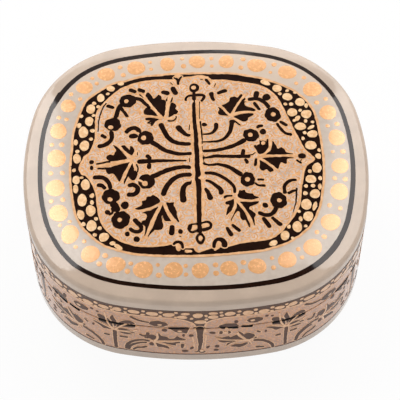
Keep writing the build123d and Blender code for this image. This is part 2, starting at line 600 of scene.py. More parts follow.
def gathered(name, parts):
    """The parts as one mesh with one name."""
    bpy.ops.object.select_all(action="DESELECT")
    for part in parts:
        part.select_set(True)
    bpy.context.view_layer.objects.active = parts[0]
    if len(parts) > 1:
        bpy.ops.object.join()
    piece = bpy.context.object
    piece.name = name
    piece.data.name = name
    return piece


def raised(piece, edge, rise):
    """Heaps each daub of a flat mesh a little towards its middle."""
    bpy.ops.object.mode_set(mode="EDIT")
    bpy.ops.mesh.select_all(action="SELECT")
    bpy.ops.mesh.inset(thickness=edge * MM, depth=rise * MM, use_individual=True)
    bpy.ops.mesh.inset(thickness=edge * MM, depth=rise / 2 * MM, use_individual=True)
    bpy.ops.object.mode_set(mode="OBJECT")
    return piece


def bedded(piece, thickness):
    """Gives a laid sheet of paint its thickness, down into what it lies on."""
    bpy.ops.object.select_all(action="DESELECT")
    piece.select_set(True)
    bpy.context.view_layer.objects.active = piece
    solid = piece.modifiers.new("paint_film", "SOLIDIFY")
    solid.thickness = thickness * MM
    solid.offset = -1.0
    solid.use_even_offset = False
    bpy.ops.object.modifier_apply(modifier=solid.name)
    bpy.ops.object.shade_smooth_by_angle(angle=SMOOTH_UP_TO)
    return piece


# Blender starts this noise from the clock unless it is given a seed.
TREMBLE = 0.15
TREMBLE_PACE = 1.3
noise.seed_set(7)


def unsteady(place):
    """How far the painter's hand trembles from a place: it changes every millimetre or so."""
    shift = noise.noise_vector(place / (TREMBLE_PACE * MM)) * TREMBLE * MM
    return Vector((shift.x, shift.y, 0))


LID_BED = 0.25
LID_SHIFT = Vector((0.17, -0.2, 0)) * MM


def laid_on_lid(piece, depth, level=True):
    """Lays a flat painting on the lid, depth mm under the finished surface.

    The whole painting sits a little to the right of the lid's middle, and forward of it.
    level is for what lies inside the crown's margin, and there the hand trembles too.
    """
    for corner in piece.data.vertices:
        if level:
            corner.co += unsteady(corner.co)
        corner.co += LID_SHIFT
        top = HEIGHT if level else crown(inset_at(corner.co.x / MM, corner.co.y / MM))
        corner.co.z += (top - depth) * MM
    return bedded(piece, LID_BED)


# The rule is pulled in four strokes, given by its insets at places round the outline.
RING_DEPTH = 0.09
RULE_INSETS = [
    (-124, 5.1), (-119, 5.4), (-105, 5.2), (-90, 5.6), (-75, 5.6), (-60, 5.95), (-45, 5.5), (-30, 6.05),
    (-15, 6.1), (0, 6.15), (15, 5.95), (30, 5.95), (45, 5.8), (60, 5.9), (75, 5.75), (90, 5.55),
    (105, 5.4), (120, 5.5), (135, 5.4), (150, 5.3), (165, 4.85), (180, 5.45), (195, 5.8), (210, 5.95),
    (225, 5.55), (240, 5.65), (246, 5.2),
]
RULE_PULLS = [(0, 9, 1.6, 1.35), (8, 13, 1.25, 1.95), (12, 18, 1.8, 1.35), (17, 26, 1.4, 1.8)]
black = paint("black_paint", (0.010, 0.0025, 0.0008), (0.018, 0.005, 0.0018), 3.0, 0.4, coat=0.7)
rule_strokes = []
for first, last, start_width, end_width in RULE_PULLS:
    stroke = []
    for place in range(first, last):
        (start, inset), (end, next_inset) = RULE_INSETS[place : place + 2]
        for step in range(5):
            along = step / 5
            stroke.append(rim(start + (end - start) * along, inset + (next_inset - inset) * along))
    rule_strokes.append((stroke, start_width, end_width))
rule = strokes("lid_black_rule", rule_strokes)
dress(laid_on_lid(rule, RING_DEPTH, level=False), "lid", "lacquered_coat", black)

GOLD_DARK = (0.79, 0.385, 0.15)
GOLD_PALE = (0.88, 0.46, 0.2)
gold = paint("gold_paint", GOLD_DARK, GOLD_PALE, 1.0, 0.24, metal=0.25, gloss=0.16, ripple=0.03, shine=0.32)
RING_DAUBS = [
    (-42.8, 24.3, 2.6, 2.6), (-37.5, 31.8, 2.8, 2.7), (-30.2, 37.2, 2.9, 2.8), (-20.1, 39.7, 3.2, 2.8),
    (-9.4, 41.2, 2.6, 2.8), (0.7, 42.1, 2.8, 2.7), (10.7, 42.0, 2.7, 2.7), (21.0, 40.3, 3.2, 2.9),
    (31.3, 37.3, 3.1, 2.9), (39.5, 30.1, 3.2, 3.1), (44.3, 20.5, 2.9, 2.9), (46.7, 10.4, 2.7, 3.3),
    (47.2, -0.8, 2.9, 2.9), (46.4, -10.8, 3.0, 3.1), (42.9, -22.3, 3.2, 3.1), (36.7, -31.6, 3.1, 3.0),
    (28.4, -36.1, 3.0, 2.9), (18.8, -38.3, 2.9, 2.8), (9.9, -39.0, 2.8, 2.7), (0.7, -39.6, 2.8, 2.7),
    (-7.8, -39.4, 3.0, 2.9), (-17.4, -39.1, 3.3, 2.9), (-26.1, -37.2, 3.1, 2.9), (-34.2, -33.2, 3.1, 3.0),
    (-40.9, -25.8, 2.9, 3.4), (-44.8, -17.8, 3.1, 3.1), (-46.1, -8.2, 3.0, 3.3), (-46.1, 3.3, 3.0, 3.5),
    (-45.8, 14.1, 2.7, 3.2),
]
daubs = raised(gathered("lid_ring_daubs", [daub(*placed) for placed in RING_DAUBS]), edge=0.7, rise=0.008)
dress(laid_on_lid(daubs, RING_DEPTH, level=False), "lid", "lacquered_coat", gold)
dots = []
for (x, y, _, _), (next_x, next_y, _, _) in zip(RING_DAUBS, RING_DAUBS[1:] + RING_DAUBS[:1]):
    middle = Vector((x + next_x, y + next_y)) / 2
    outwards = Vector((next_y - y, x - next_x)).normalized() * -1
    for side in (1, -1):
        shift = outwards * (side * hand.uniform(1.3, 1.9)) + Vector((hand.uniform(-0.4, 0.4), 0))
        dots.append(daub(*(middle + shift), hand.uniform(0.65, 0.98)))
dots = raised(gathered("lid_ring_dots", dots), edge=0.2, rise=0.006)
dress(laid_on_lid(dots, RING_DEPTH, level=False), "lid", "lacquered_coat", gold)

# ------------------------------------------------- panel in the middle of the lid
# First a black field with a hand-drawn edge, then the gold ground over it, which
# leaves the black showing as two crescents at the ends and a bar at front and back.
FIELD_DEPTH = 0.10
PANEL_DEPTH = 0.08
FIELD_EDGE = [
    (-41.5, 0.0), (-41.35, 3.0), (-41.15, 6.5), (-41.05, 10.0), (-40.7, 14.0), (-39.9, 17.2), (-39.1, 20.0),
    (-38.0, 23.6), (-36.9, 26.0), (-35.2, 27.9), (-33.6, 29.2), (-32.0, 30.4), (-30.2, 31.8), (-28.3, 32.9),
    (-26.2, 33.8), (-24.0, 34.0), (-22.0, 34.8), (-20.0, 35.5), (-18.0, 36.0), (-15.8, 36.2), (-14.0, 36.4),
    (-11.3, 36.5), (-9.8, 36.8), (-7.2, 37.0), (-5.0, 37.0), (0.0, 37.15), (5.0, 37.1), (10.0, 37.1),
    (12.8, 36.9), (15.1, 36.5), (17.5, 35.9), (19.7, 35.5), (22.0, 34.9), (23.8, 34.4), (25.2, 33.7),
    (27.0, 33.0), (28.4, 32.3), (29.6, 31.8), (31.0, 30.8), (32.8, 29.9), (34.4, 28.4), (35.6, 27.3),
    (36.6, 26.2), (37.5, 25.0), (38.3, 23.6), (39.2, 22.1), (39.9, 20.1), (40.3, 18.0), (40.7, 16.0),
    (40.9, 14.0), (41.1, 12.0), (41.4, 10.0), (41.5, 8.0), (41.7, 5.5), (41.9, 2.0), (41.8, -2.0),
    (41.7, -5.0), (41.4, -8.0), (41.0, -10.2), (40.7, -12.1), (40.4, -14.1), (39.9, -16.1), (39.2, -18.1),
    (38.4, -20.2), (37.3, -22.2), (36.0, -24.3), (33.9, -26.3), (32.7, -27.4), (31.1, -28.4), (29.8, -29.4),
    (27.9, -30.4), (26.1, -31.1), (24.3, -31.6), (22.5, -32.2), (20.1, -32.8), (17.4, -33.1), (13.7, -33.4),
    (10.0, -33.8), (5.6, -34.1), (3.5, -34.3), (0.0, -34.4), (-4.5, -34.4), (-9.9, -34.3), (-13.5, -34.1),
    (-17.6, -33.8), (-20.5, -33.4), (-22.7, -32.9), (-24.3, -32.4), (-25.8, -31.9), (-27.4, -31.3),
    (-29.6, -30.4), (-31.0, -29.4), (-32.4, -28.4), (-34.5, -26.3), (-36.4, -24.3), (-37.7, -22.2),
    (-38.7, -20.2), (-39.5, -18.1), (-39.8, -16.5), (-40.1, -15.0), (-40.3, -13.8), (-40.6, -12.0),
    (-40.9, -10.0), (-41.1, -8.0), (-41.3, -6.0), (-41.5, -3.0),
]
PANEL_EDGE = [
    (-38.4, 0.0), (-37.8, 1.3), (-37.2, 2.6), (-36.9, 3.6), (-36.0, 4.4), (-35.3, 5.0), (-34.5, 6.7),
    (-33.9, 8.4), (-33.4, 10.5), (-33.2, 12.4), (-33.3, 14.0), (-33.3, 18.3), (-33.2, 20.2), (-32.8, 21.8),
    (-32.2, 23.0), (-31.3, 24.2), (-29.9, 26.0), (-28.4, 27.7), (-26.7, 29.5), (-25.0, 30.9),
    (-23.9, 31.5), (-22.6, 32.1), (-21.3, 32.7), (-20.0, 33.1), (-18.0, 33.6), (-15.8, 34.0),
    (-13.5, 34.2), (-11.3, 34.3), (-9.0, 34.3), (-7.3, 34.2), (-5.9, 33.6), (-4.9, 34.5), (-4.0, 35.1),
    (-3.0, 35.4), (-1.0, 35.5), (0.5, 35.9), (2.2, 35.9), (4.0, 35.3), (5.0, 34.4), (5.7, 34.0),
    (10.0, 34.0), (12.6, 33.5), (15.0, 33.2), (17.2, 32.7), (19.4, 32.3), (21.2, 31.8), (22.5, 31.2),
    (23.9, 30.4), (24.8, 29.6), (25.7, 28.8), (26.6, 27.6), (27.4, 26.4), (28.1, 25.0), (28.7, 23.4),
    (29.4, 21.6), (30.2, 19.7), (30.9, 17.8), (31.6, 15.9), (32.1, 14.4), (32.7, 12.8), (33.4, 11.1),
    (34.1, 9.4), (34.8, 7.5), (35.6, 5.9), (36.9, 4.1), (38.3, 2.7), (38.7, 1.9), (38.2, 1.1), (37.2, 0.5),
    (36.4, -0.1), (35.6, -1.5), (35.0, -3.1), (34.6, -5.3), (34.2, -7.5), (33.9, -9.5), (33.7, -11.4),
    (33.5, -13.2), (33.2, -15.0), (32.7, -16.7), (31.9, -18.4), (31.1, -19.8), (29.9, -21.6),
    (28.5, -23.4), (27.4, -24.9), (26.6, -25.8), (25.7, -26.6), (24.7, -27.4), (23.4, -28.1),
    (22.1, -28.5), (20.4, -28.8), (18.5, -29.0), (16.3, -29.2), (14.0, -29.6), (12.2, -30.0),
    (10.8, -30.5), (9.3, -30.9), (6.5, -31.0), (5.0, -31.1), (4.0, -31.4), (2.6, -31.9), (1.4, -32.4),
    (0.4, -32.8), (-0.3, -32.6), (-0.8, -31.8), (-1.4, -31.2), (-4.4, -31.2), (-5.6, -31.1), (-7.0, -30.3),
    (-8.3, -29.8), (-9.8, -30.1), (-11.7, -30.4), (-14.5, -30.6), (-17.2, -30.6), (-19.4, -30.3),
    (-21.2, -29.8), (-23.0, -29.2), (-24.4, -28.5), (-25.6, -27.8), (-26.8, -26.9), (-27.7, -26.0),
    (-28.6, -25.0), (-29.6, -23.7), (-30.4, -22.3), (-31.1, -20.7), (-31.4, -19.2), (-31.8, -17.7),
    (-32.0, -15.9), (-32.2, -14.5), (-32.4, -12.7), (-32.7, -10.6), (-33.2, -9.0), (-33.8, -7.3),
    (-34.5, -5.9), (-35.3, -4.5), (-36.3, -3.4), (-37.4, -3.1), (-38.0, -2.0), (-38.4, -1.0),
]
field = gathered("lid_black_field", [patch(FIELD_EDGE)])
dress(laid_on_lid(field, FIELD_DEPTH), "lid", "lacquered_coat", black)

LINE_METAL = 0.3
SHAKE = 1.5
SCROLL = 2.4
SCROLL_PITCH = 0.95


def filigree(name, ground_dark, ground_pale, line_dark, line_pale):
    """Cream ground covered with fine gold scrolls, under lacquer.

    Each cell holds one scroll.  Its line follows the angle round the cell's middle plus
    the distance from it, and a noise shakes the places that both are measured from.
    """
    material = paint(name, ground_dark, ground_pale, 2.5, 0.42, ripple=0.03)
    tree = material.node_tree
    shader = tree.nodes["Principled BSDF"].inputs
    ground = shader["Base Color"].links[0].from_socket
    place = tree.nodes["Texture Coordinate"].outputs["Object"]
    shake = node(tree, "TexNoise", {"Vector": place, "Scale": 1 / (1.6 * MM), "Detail": 1.0})
    centred = node(tree, "VectorMath", {0: shake.outputs["Color"], 1: (0.5, 0.5, 0.5)}, operation="SUBTRACT")
    bent = node(tree, "VectorMath", {0: centred.outputs["Vector"], 2: place}, operation="MULTIPLY_ADD")
    bent.inputs[1].default_value = (SHAKE * MM, SHAKE * MM, SHAKE * MM)
    drawn = bent.outputs["Vector"]
    scrolls = node(tree, "TexVoronoi", {"Vector": drawn, "Scale": 1 / (SCROLL * MM)})
    local = node(tree, "VectorMath", {0: drawn, 1: scrolls.outputs["Position"]}, operation="SUBTRACT")
    split = node(tree, "SeparateXYZ", {"Vector": local.outputs["Vector"]})
    swing = node(tree, "Math", {0: split.outputs["Y"], 1: split.outputs["X"]}, operation="ARCTAN2")
    out = node(tree, "VectorMath", {0: local.outputs["Vector"]}, operation="LENGTH")
    turns = 2 * math.pi / (SCROLL_PITCH * MM)
    winding = {0: out.outputs["Value"], 1: turns, 2: swing.outputs["Value"]}
    winding = node(tree, "Math", winding, operation="MULTIPLY_ADD")
    wave = node(tree, "Math", {0: winding.outputs["Value"]}, operation="SINE")
    line = node(tree, "MapRange", {"Value": wave.outputs["Value"], "From Min": -0.25, "From Max": 0.4})
    sheen = node(tree, "TexNoise", {"Vector": place, "Scale": 1 / (1.1 * MM), "Detail": 3.0})
    leaf = tones(tree, sheen.outputs["Fac"], 0.35, line_dark, 0.65, line_pale)
    over = node(tree, "Mix", {"Factor": line.outputs["Result"], "A": ground, "B": leaf}, data_type="RGBA")
    tree.links.new(over.outputs["Result"], shader["Base Color"])
    metal = node(tree, "Math", {0: line.outputs["Result"], 1: LINE_METAL}, operation="MULTIPLY")
    tree.links.new(metal.outputs["Value"], shader["Metallic"])
    return material


scrolled = filigree(
    "gold_scrolls",
    (0.54, 0.41, 0.335),
    (0.76, 0.59, 0.48),
    (0.58, 0.275, 0.105),
    (0.76, 0.41, 0.19),
)
panel = gathered("lid_gold_panel", [patch(PANEL_EDGE)])
dress(laid_on_lid(panel, PANEL_DEPTH), "lid", "lacquered_coat", scrolled)

# ------------------------------------------------------ crescents' gold pebbles
# The crescents are filled with gold pebbles, large ones along the middle and small
# ones between them, so that the black is left as a net.  A few are dragged daubs.
PEBBLE_DEPTH = 0.05
LEFT_PEBBLES = [
    (-28.6, 31.1, 1.35, 1.1), (-29.6, 28.9, 0.7, 0.55), (-31.9, 27.3, 1.2, 1.7), (-34.1, 25.1, 0.7),
    (-32.7, 23.7, 0.7, 0.6), (-35.2, 22.8, 1.4, 1.9), (-38.3, 19.9, 0.7), (-34.2, 20.2, 0.6),
    (-35.6, 17.8, 1.35, 1.85), (-39.0, 16.2, 0.75, 1.0), (-37.5, 13.4, 1.55, 2.3), (-34.4, 14.0, 0.8, 0.7),
    (-34.9, 10.7, 0.7), (-39.9, 9.4, 0.75, 1.15), (-37.0, 8.1, 1.55, 2.0), (-39.3, 5.8, 0.7, 0.8),
    (-39.3, 3.0, 1.3, 1.9), (-25.2, 33.1, 1.1, 0.75), (-40.2, -1.6, 0.7), (-39.4, -5.3, 1.2, 1.6),
    (-37.7, -4.4, 0.7, 0.5), (-36.3, -7.2, 1.4, 2.1), (-39.5, -8.8, 0.85, 1.7), (-37.3, -13.1, 1.45, 2.5),
    (-34.1, -11.4, 0.8, 0.9), (-34.1, -14.0, 0.65, 0.9), (-34.4, -17.1, 1.55, 2.15),
    (-37.6, -18.6, 1.1, 1.9, 20), (-32.6, -20.2, 0.7), (-36.6, -22.1, 0.75), (-34.0, -22.8, 1.55, 2.1),
    (-31.4, -23.7, 0.7), (-32.9, -26.2, 0.7), (-30.0, -27.1, 1.5, 1.75, -25), (-27.2, -29.4, 0.95, 0.85),
    (-25.3, -30.8, 1.5, 0.8, -38),
]
RIGHT_PEBBLES = [
    (23.7, 33.0, 1.75, 0.95, -28), (27.6, 30.5, 1.6, 1.5), (31.0, 29.5, 0.7, 0.55), (28.4, 28.3, 0.6),
    (31.0, 27.0, 1.65, 1.5), (33.6, 28.7, 0.6), (35.1, 24.7, 1.65, 1.55), (30.1, 24.0, 0.65),
    (32.1, 23.9, 0.75), (37.1, 23.3, 0.65, 0.9), (32.3, 20.6, 1.6, 1.7), (35.0, 21.4, 0.65),
    (37.0, 19.8, 1.8, 1.65), (34.0, 18.2, 0.8, 1.2, -25), (32.9, 17.3, 0.55), (36.6, 17.0, 0.6, 0.8),
    (38.9, 16.6, 0.6), (34.8, 14.9, 1.8, 1.55), (38.3, 14.5, 1.3, 0.6, 35), (36.2, 12.3, 0.65),
    (38.7, 11.8, 1.7, 1.45), (35.5, 10.1, 0.65, 0.75), (37.9, 7.3, 1.9, 1.7), (40.6, 5.3, 0.55, 0.7),
    (40.2, 3.0, 1.0, 1.05), (39.5, -1.6, 1.55, 1.95), (37.1, -2.9, 0.7), (37.3, -5.9, 1.7, 1.6),
    (40.4, -5.7, 0.65, 0.8), (35.6, -8.6, 0.7), (37.9, -8.5, 0.7), (40.1, -8.9, 0.6, 1.2),
    (35.2, -11.4, 0.75, 0.85), (38.4, -11.6, 1.6, 1.75), (35.4, -15.6, 1.65, 2.1),
    (38.1, -16.3, 0.65, 1.8, -15), (32.9, -18.2, 0.6), (33.3, -21.1, 0.65, 0.95), (35.8, -20.1, 1.65, 1.8),
    (32.1, -24.0, 1.55, 2.0), (29.4, -24.0, 0.6, 0.75), (34.8, -23.8, 0.6), (28.0, -27.2, 1.4, 1.8, -18),
    (30.4, -28.2, 0.5), (24.2, -30.0, 1.45, 0.95, 25),
]
PEBBLE_DARK = (0.70, 0.41, 0.20)
PEBBLE_PALE = (0.86, 0.60, 0.36)
pale_gold = paint("pale_gold_paint", PEBBLE_DARK, PEBBLE_PALE, 1.2, 0.42, metal=0.25, ripple=0.05)
pebbles = gathered("lid_crescent_pebbles", [daub(*placed) for placed in LEFT_PEBBLES + RIGHT_PEBBLES])
pebbles = raised(pebbles, edge=0.15, rise=0.004)
dress(laid_on_lid(pebbles, PEBBLE_DEPTH), "lid", "lacquered_coat", pale_gold)

# ------------------------------------------------------------- gold lines
# A fine brush runs gold along the edge of the black field and along the edge of
# the panel, all the way round and back to where it started.
LINE_DEPTH = 0.065


def edge_stroke(outline, width):
    """One stroke of even width along a closed outline."""
    return (outline + outline[:1], width, width)


line_gold = paint("gold_line", (0.66, 0.35, 0.16), (0.82, 0.49, 0.27), 2.0, 0.4, metal=0.2, ripple=0.03)
edging = strokes("lid_gold_lines", [edge_stroke(FIELD_EDGE, 0.8), edge_stroke(PANEL_EDGE, 0.7)])
dress(laid_on_lid(edging, LINE_DEPTH), "lid", "lacquered_coat", line_gold)

# ---------------------------------------------------- painting of the panel
# Two sprays of stems leave a central stalk and end in chinar leaves, rosettes and
# buds.  Black is edged all round with gold, and the gold veins and eyes go on last.
EDGING_DEPTH = 0.055
MOTIF_DEPTH = 0.035
VEIN_DEPTH = 0.015
OUTLINE = 0.33
ROSETTE_EDGE = 0.3
PETALS = 7
CENTRE_STROKES = [
    ([(-0.6, 25.2), (-0.6, 20.0), (-0.4, 16.0), (-0.15, 13.0), (0.0, 10.0), (0.0, 8.0), (0.1, 6.0),
        (0.25, 3.5)],
     1.15, 1.6),
    ([(0.1, 7.0), (0.25, 2.0), (0.2, 0.0), (0.35, -2.0), (0.45, -3.2), (0.35, -4.7)], 1.35, 1.9),
    ([(0.05, -3.6), (0.05, -6.4)], 1.1, 1.1),
    ([(0.4, -5.3), (0.6, -8.0), (0.65, -10.0), (0.65, -12.0), (0.6, -14.5)], 1.75, 1.65),
    ([(0.6, -13.0), (0.65, -18.0), (0.65, -22.0), (0.85, -26.1)], 1.6, 1.5),
    ([(-0.55, 29.9), (-0.5, 27.6), (-0.55, 25.8)], 1.1, 1.5),
    ([(-0.45, 26.6), (-0.4, 24.6)], 0.6, 0.7),
    ([(-0.8, 27.9), (-2.1, 27.8), (-2.9, 27.3), (-3.3, 26.4), (-3.2, 25.6)], 1.1, 0.8),
    ([(-0.2, 28.0), (1.5, 28.15), (2.5, 28.0), (2.9, 27.3), (2.5, 26.4), (1.9, 25.3)], 1.2, 1.0),
    ([(1.45, 17.5), (1.55, 15.5), (1.85, 13.5), (1.95, 11.0), (2.0, 8.3)], 0.65, 0.4),
    ([(1.3, 25.4), (1.25, 21.5), (1.3, 18.2)], 0.28, 0.3),
    ([(2.0, 7.5), (2.1, 5.4)], 0.3, 0.3),
    ([(2.3, 4.0), (2.35, 0.6)], 0.2, 0.25),
    ([(-2.1, 16.2), (-2.3, 13.8)], 0.25, 0.45),
    ([(-2.25, 2.8), (-2.3, 1.2)], 0.25, 0.3),
    ([(1.6, 34.5), (2.7, 34.6)], 0.35, 0.3),
    ([(6.9, 32.9), (6.4, 31.4)], 0.3, 0.35),
    ([(-8.6, 33.5), (-7.6, 32.4)], 0.3, 0.3),
    ([(0.8, -22.6), (2.1, -22.0), (3.3, -21.8), (4.3, -22.5), (4.3, -23.6), (3.3, -24.4),
        (1.2, -24.9)], 0.7, 1.4),
    ([(0.3, -22.5), (-1.2, -22.6), (-2.4, -23.0), (-2.8, -24.0), (-2.5, -25.1), (-1.5, -25.6), (0.3, -24.9)],
     0.5, 1.0),
    ([(-2.1, -22.6), (-2.8, -25.0)], 1.5, 1.2),
    ([(1.0, -26.0), (0.0, -27.3), (-0.1, -28.3), (0.9, -29.9), (1.9, -28.6), (2.0, -27.6),
        (1.1, -26.1)], 0.9, 0.9),
    ([(-7.9, -30.3), (-7.1, -29.4), (-5.9, -29.1), (-5.0, -30.0), (-4.7, -31.7)], 1.0, 1.1),
    ([(5.2, -31.6), (5.4, -29.6), (6.3, -28.5), (7.7, -28.5), (8.5, -29.6), (8.6, -31.5)], 1.1, 2.1),
    ([(-7.3, 35.6), (-6.2, 34.6), (-5.9, 33.6), (-5.9, 32.3)], 0.9, 0.9),
    ([(-5.9, 33.4), (-5.3, 34.8), (-4.6, 36.0)], 0.9, 0.6),
    ([(3.4, 34.7), (4.2, 33.6), (4.9, 32.2)], 1.2, 0.9),
]
CENTRE_RINGS = [
    (-0.42, 31.0, 1.7, 1.9),
]
LEFT_STROKES = [
    ([(-22.5, 30.7), (-19.9, 29.5)], 1.6, 1.4),
    ([(-19.6, 30.8), (-17.0, 29.5)], 1.5, 1.5),
    ([(-11.6, 29.6), (-8.7, 28.7)], 1.6, 1.8),
    ([(-7.9, 31.6), (-6.4, 28.2)], 1.7, 1.8),
    ([(-20.9, 27.0), (-18.5, 26.4), (-16.8, 24.6), (-15.2, 22.8)], 1.6, 1.0),
    ([(-30.0, 24.1), (-27.2, 23.1)], 1.4, 1.2),
    ([(-24.8, 24.8), (-26.0, 22.4), (-26.8, 19.0)], 1.8, 1.5),
    ([(-25.2, 23.2), (-22.7, 19.4)], 1.2, 1.1),
    ([(-28.3, 13.9), (-28.0, 12.2), (-28.1, 10.6), (-29.0, 9.2), (-30.4, 8.2), (-32.7, 7.6)], 1.5, 1.6),
    ([(-31.7, 12.4), (-29.8, 11.0)], 1.2, 1.3),
    ([(-15.2, 9.6), (-13.0, 7.9), (-10.5, 6.0), (-8.0, 5.0), (-5.0, 4.4), (-1.5, 4.6)], 1.8, 1.3),
    ([(-23.5, 12.8), (-22.2, 14.4), (-20.6, 14.9), (-19.3, 14.2), (-18.7, 12.8)], 1.5, 1.7),
    ([(-11.9, 16.8), (-10.8, 14.0), (-9.4, 11.2), (-7.6, 9.4), (-5.0, 8.5), (-1.7, 8.3)], 1.9, 1.4),
    ([(-6.4, 15.7), (-4.8, 13.5), (-3.4, 12.1), (-1.8, 11.6)], 2.3, 1.0),
    ([(-16.4, 29.0), (-13.8, 24.3), (-11.4, 20.3)], 2.0, 1.0),
    ([(-18.9, 28.7), (-17.5, 27.1)], 0.55, 0.5),
    ([(-9.5, 17.8), (-8.2, 17.6), (-7.2, 18.0), (-6.6, 18.9), (-6.7, 19.6)], 0.75, 0.5),
    ([(-28.2, 1.75), (-33.0, 0.75)], 0.7, 0.6),
    ([(-19.8, 0.6), (-19.2, -1.0), (-19.4, -2.7)], 0.6, 0.5),
    ([(-32.6, -1.0), (-28.0, -1.0)], 0.7, 1.1),
    ([(-19.6, 1.5), (-12.0, 1.8), (-3.3, 1.8)], 1.9, 0.6),
    ([(-16.6, 4.3), (-15.0, 2.3)], 1.7, 1.3),
    ([(-15.5, 1.0), (-15.6, -1.4)], 1.4, 1.7),
    ([(-19.4, 5.4), (-19.4, 4.0)], 0.35, 0.3),
    ([(-34.0, -4.4), (-31.2, -4.4), (-29.6, -5.3), (-28.6, -6.8), (-28.1, -9.0)], 1.7, 1.3),
    ([(-32.7, -7.3), (-31.0, -7.6), (-29.7, -9.0)], 1.5, 1.5),
    ([(-27.7, -13.9), (-26.4, -15.8), (-25.6, -17.8)], 2.6, 2.4),
    ([(-27.6, -16.0), (-27.3, -17.8), (-28.7, -18.8)], 1.0, 1.0),
    ([(-22.5, -7.9), (-20.8, -7.4), (-19.3, -8.6), (-19.6, -10.4), (-21.0, -11.2), (-22.9, -11.1)], 1.6, 1.7),
    ([(-15.2, -4.7), (-13.0, -3.6), (-10.0, -2.1), (-7.0, -1.1), (-4.0, -0.7), (-1.7, -1.0)], 1.9, 1.4),
    ([(-11.1, -11.8), (-10.2, -9.0), (-8.7, -6.5), (-6.8, -4.8), (-4.5, -3.9), (-1.6, -3.65)], 1.9, 1.6),
    ([(-1.7, -6.9), (-3.4, -7.4), (-4.5, -9.3), (-4.6, -11.8), (-4.3, -14.5)], 1.3, 2.4),
    ([(-1.8, -5.8), (-1.9, -7.0)], 0.3, 0.6),
    ([(-20.6, -20.3), (-19.3, -21.8), (-18.3, -22.9), (-18.0, -24.3)], 1.7, 1.5),
    ([(-21.9, -23.7), (-20.5, -25.0), (-18.8, -25.2), (-17.7, -23.8)], 1.4, 1.3),
    ([(-8.4, -26.7), (-8.2, -25.0), (-8.1, -22.8)], 1.9, 1.7),
    ([(-5.9, -27.0), (-5.1, -27.4)], 0.35, 0.25),
    ([(-9.0, 27.4), (-10.0, 25.6)], 0.6, 0.6),
    ([(-7.7, 27.3), (-8.4, 25.0)], 0.6, 0.5),
]
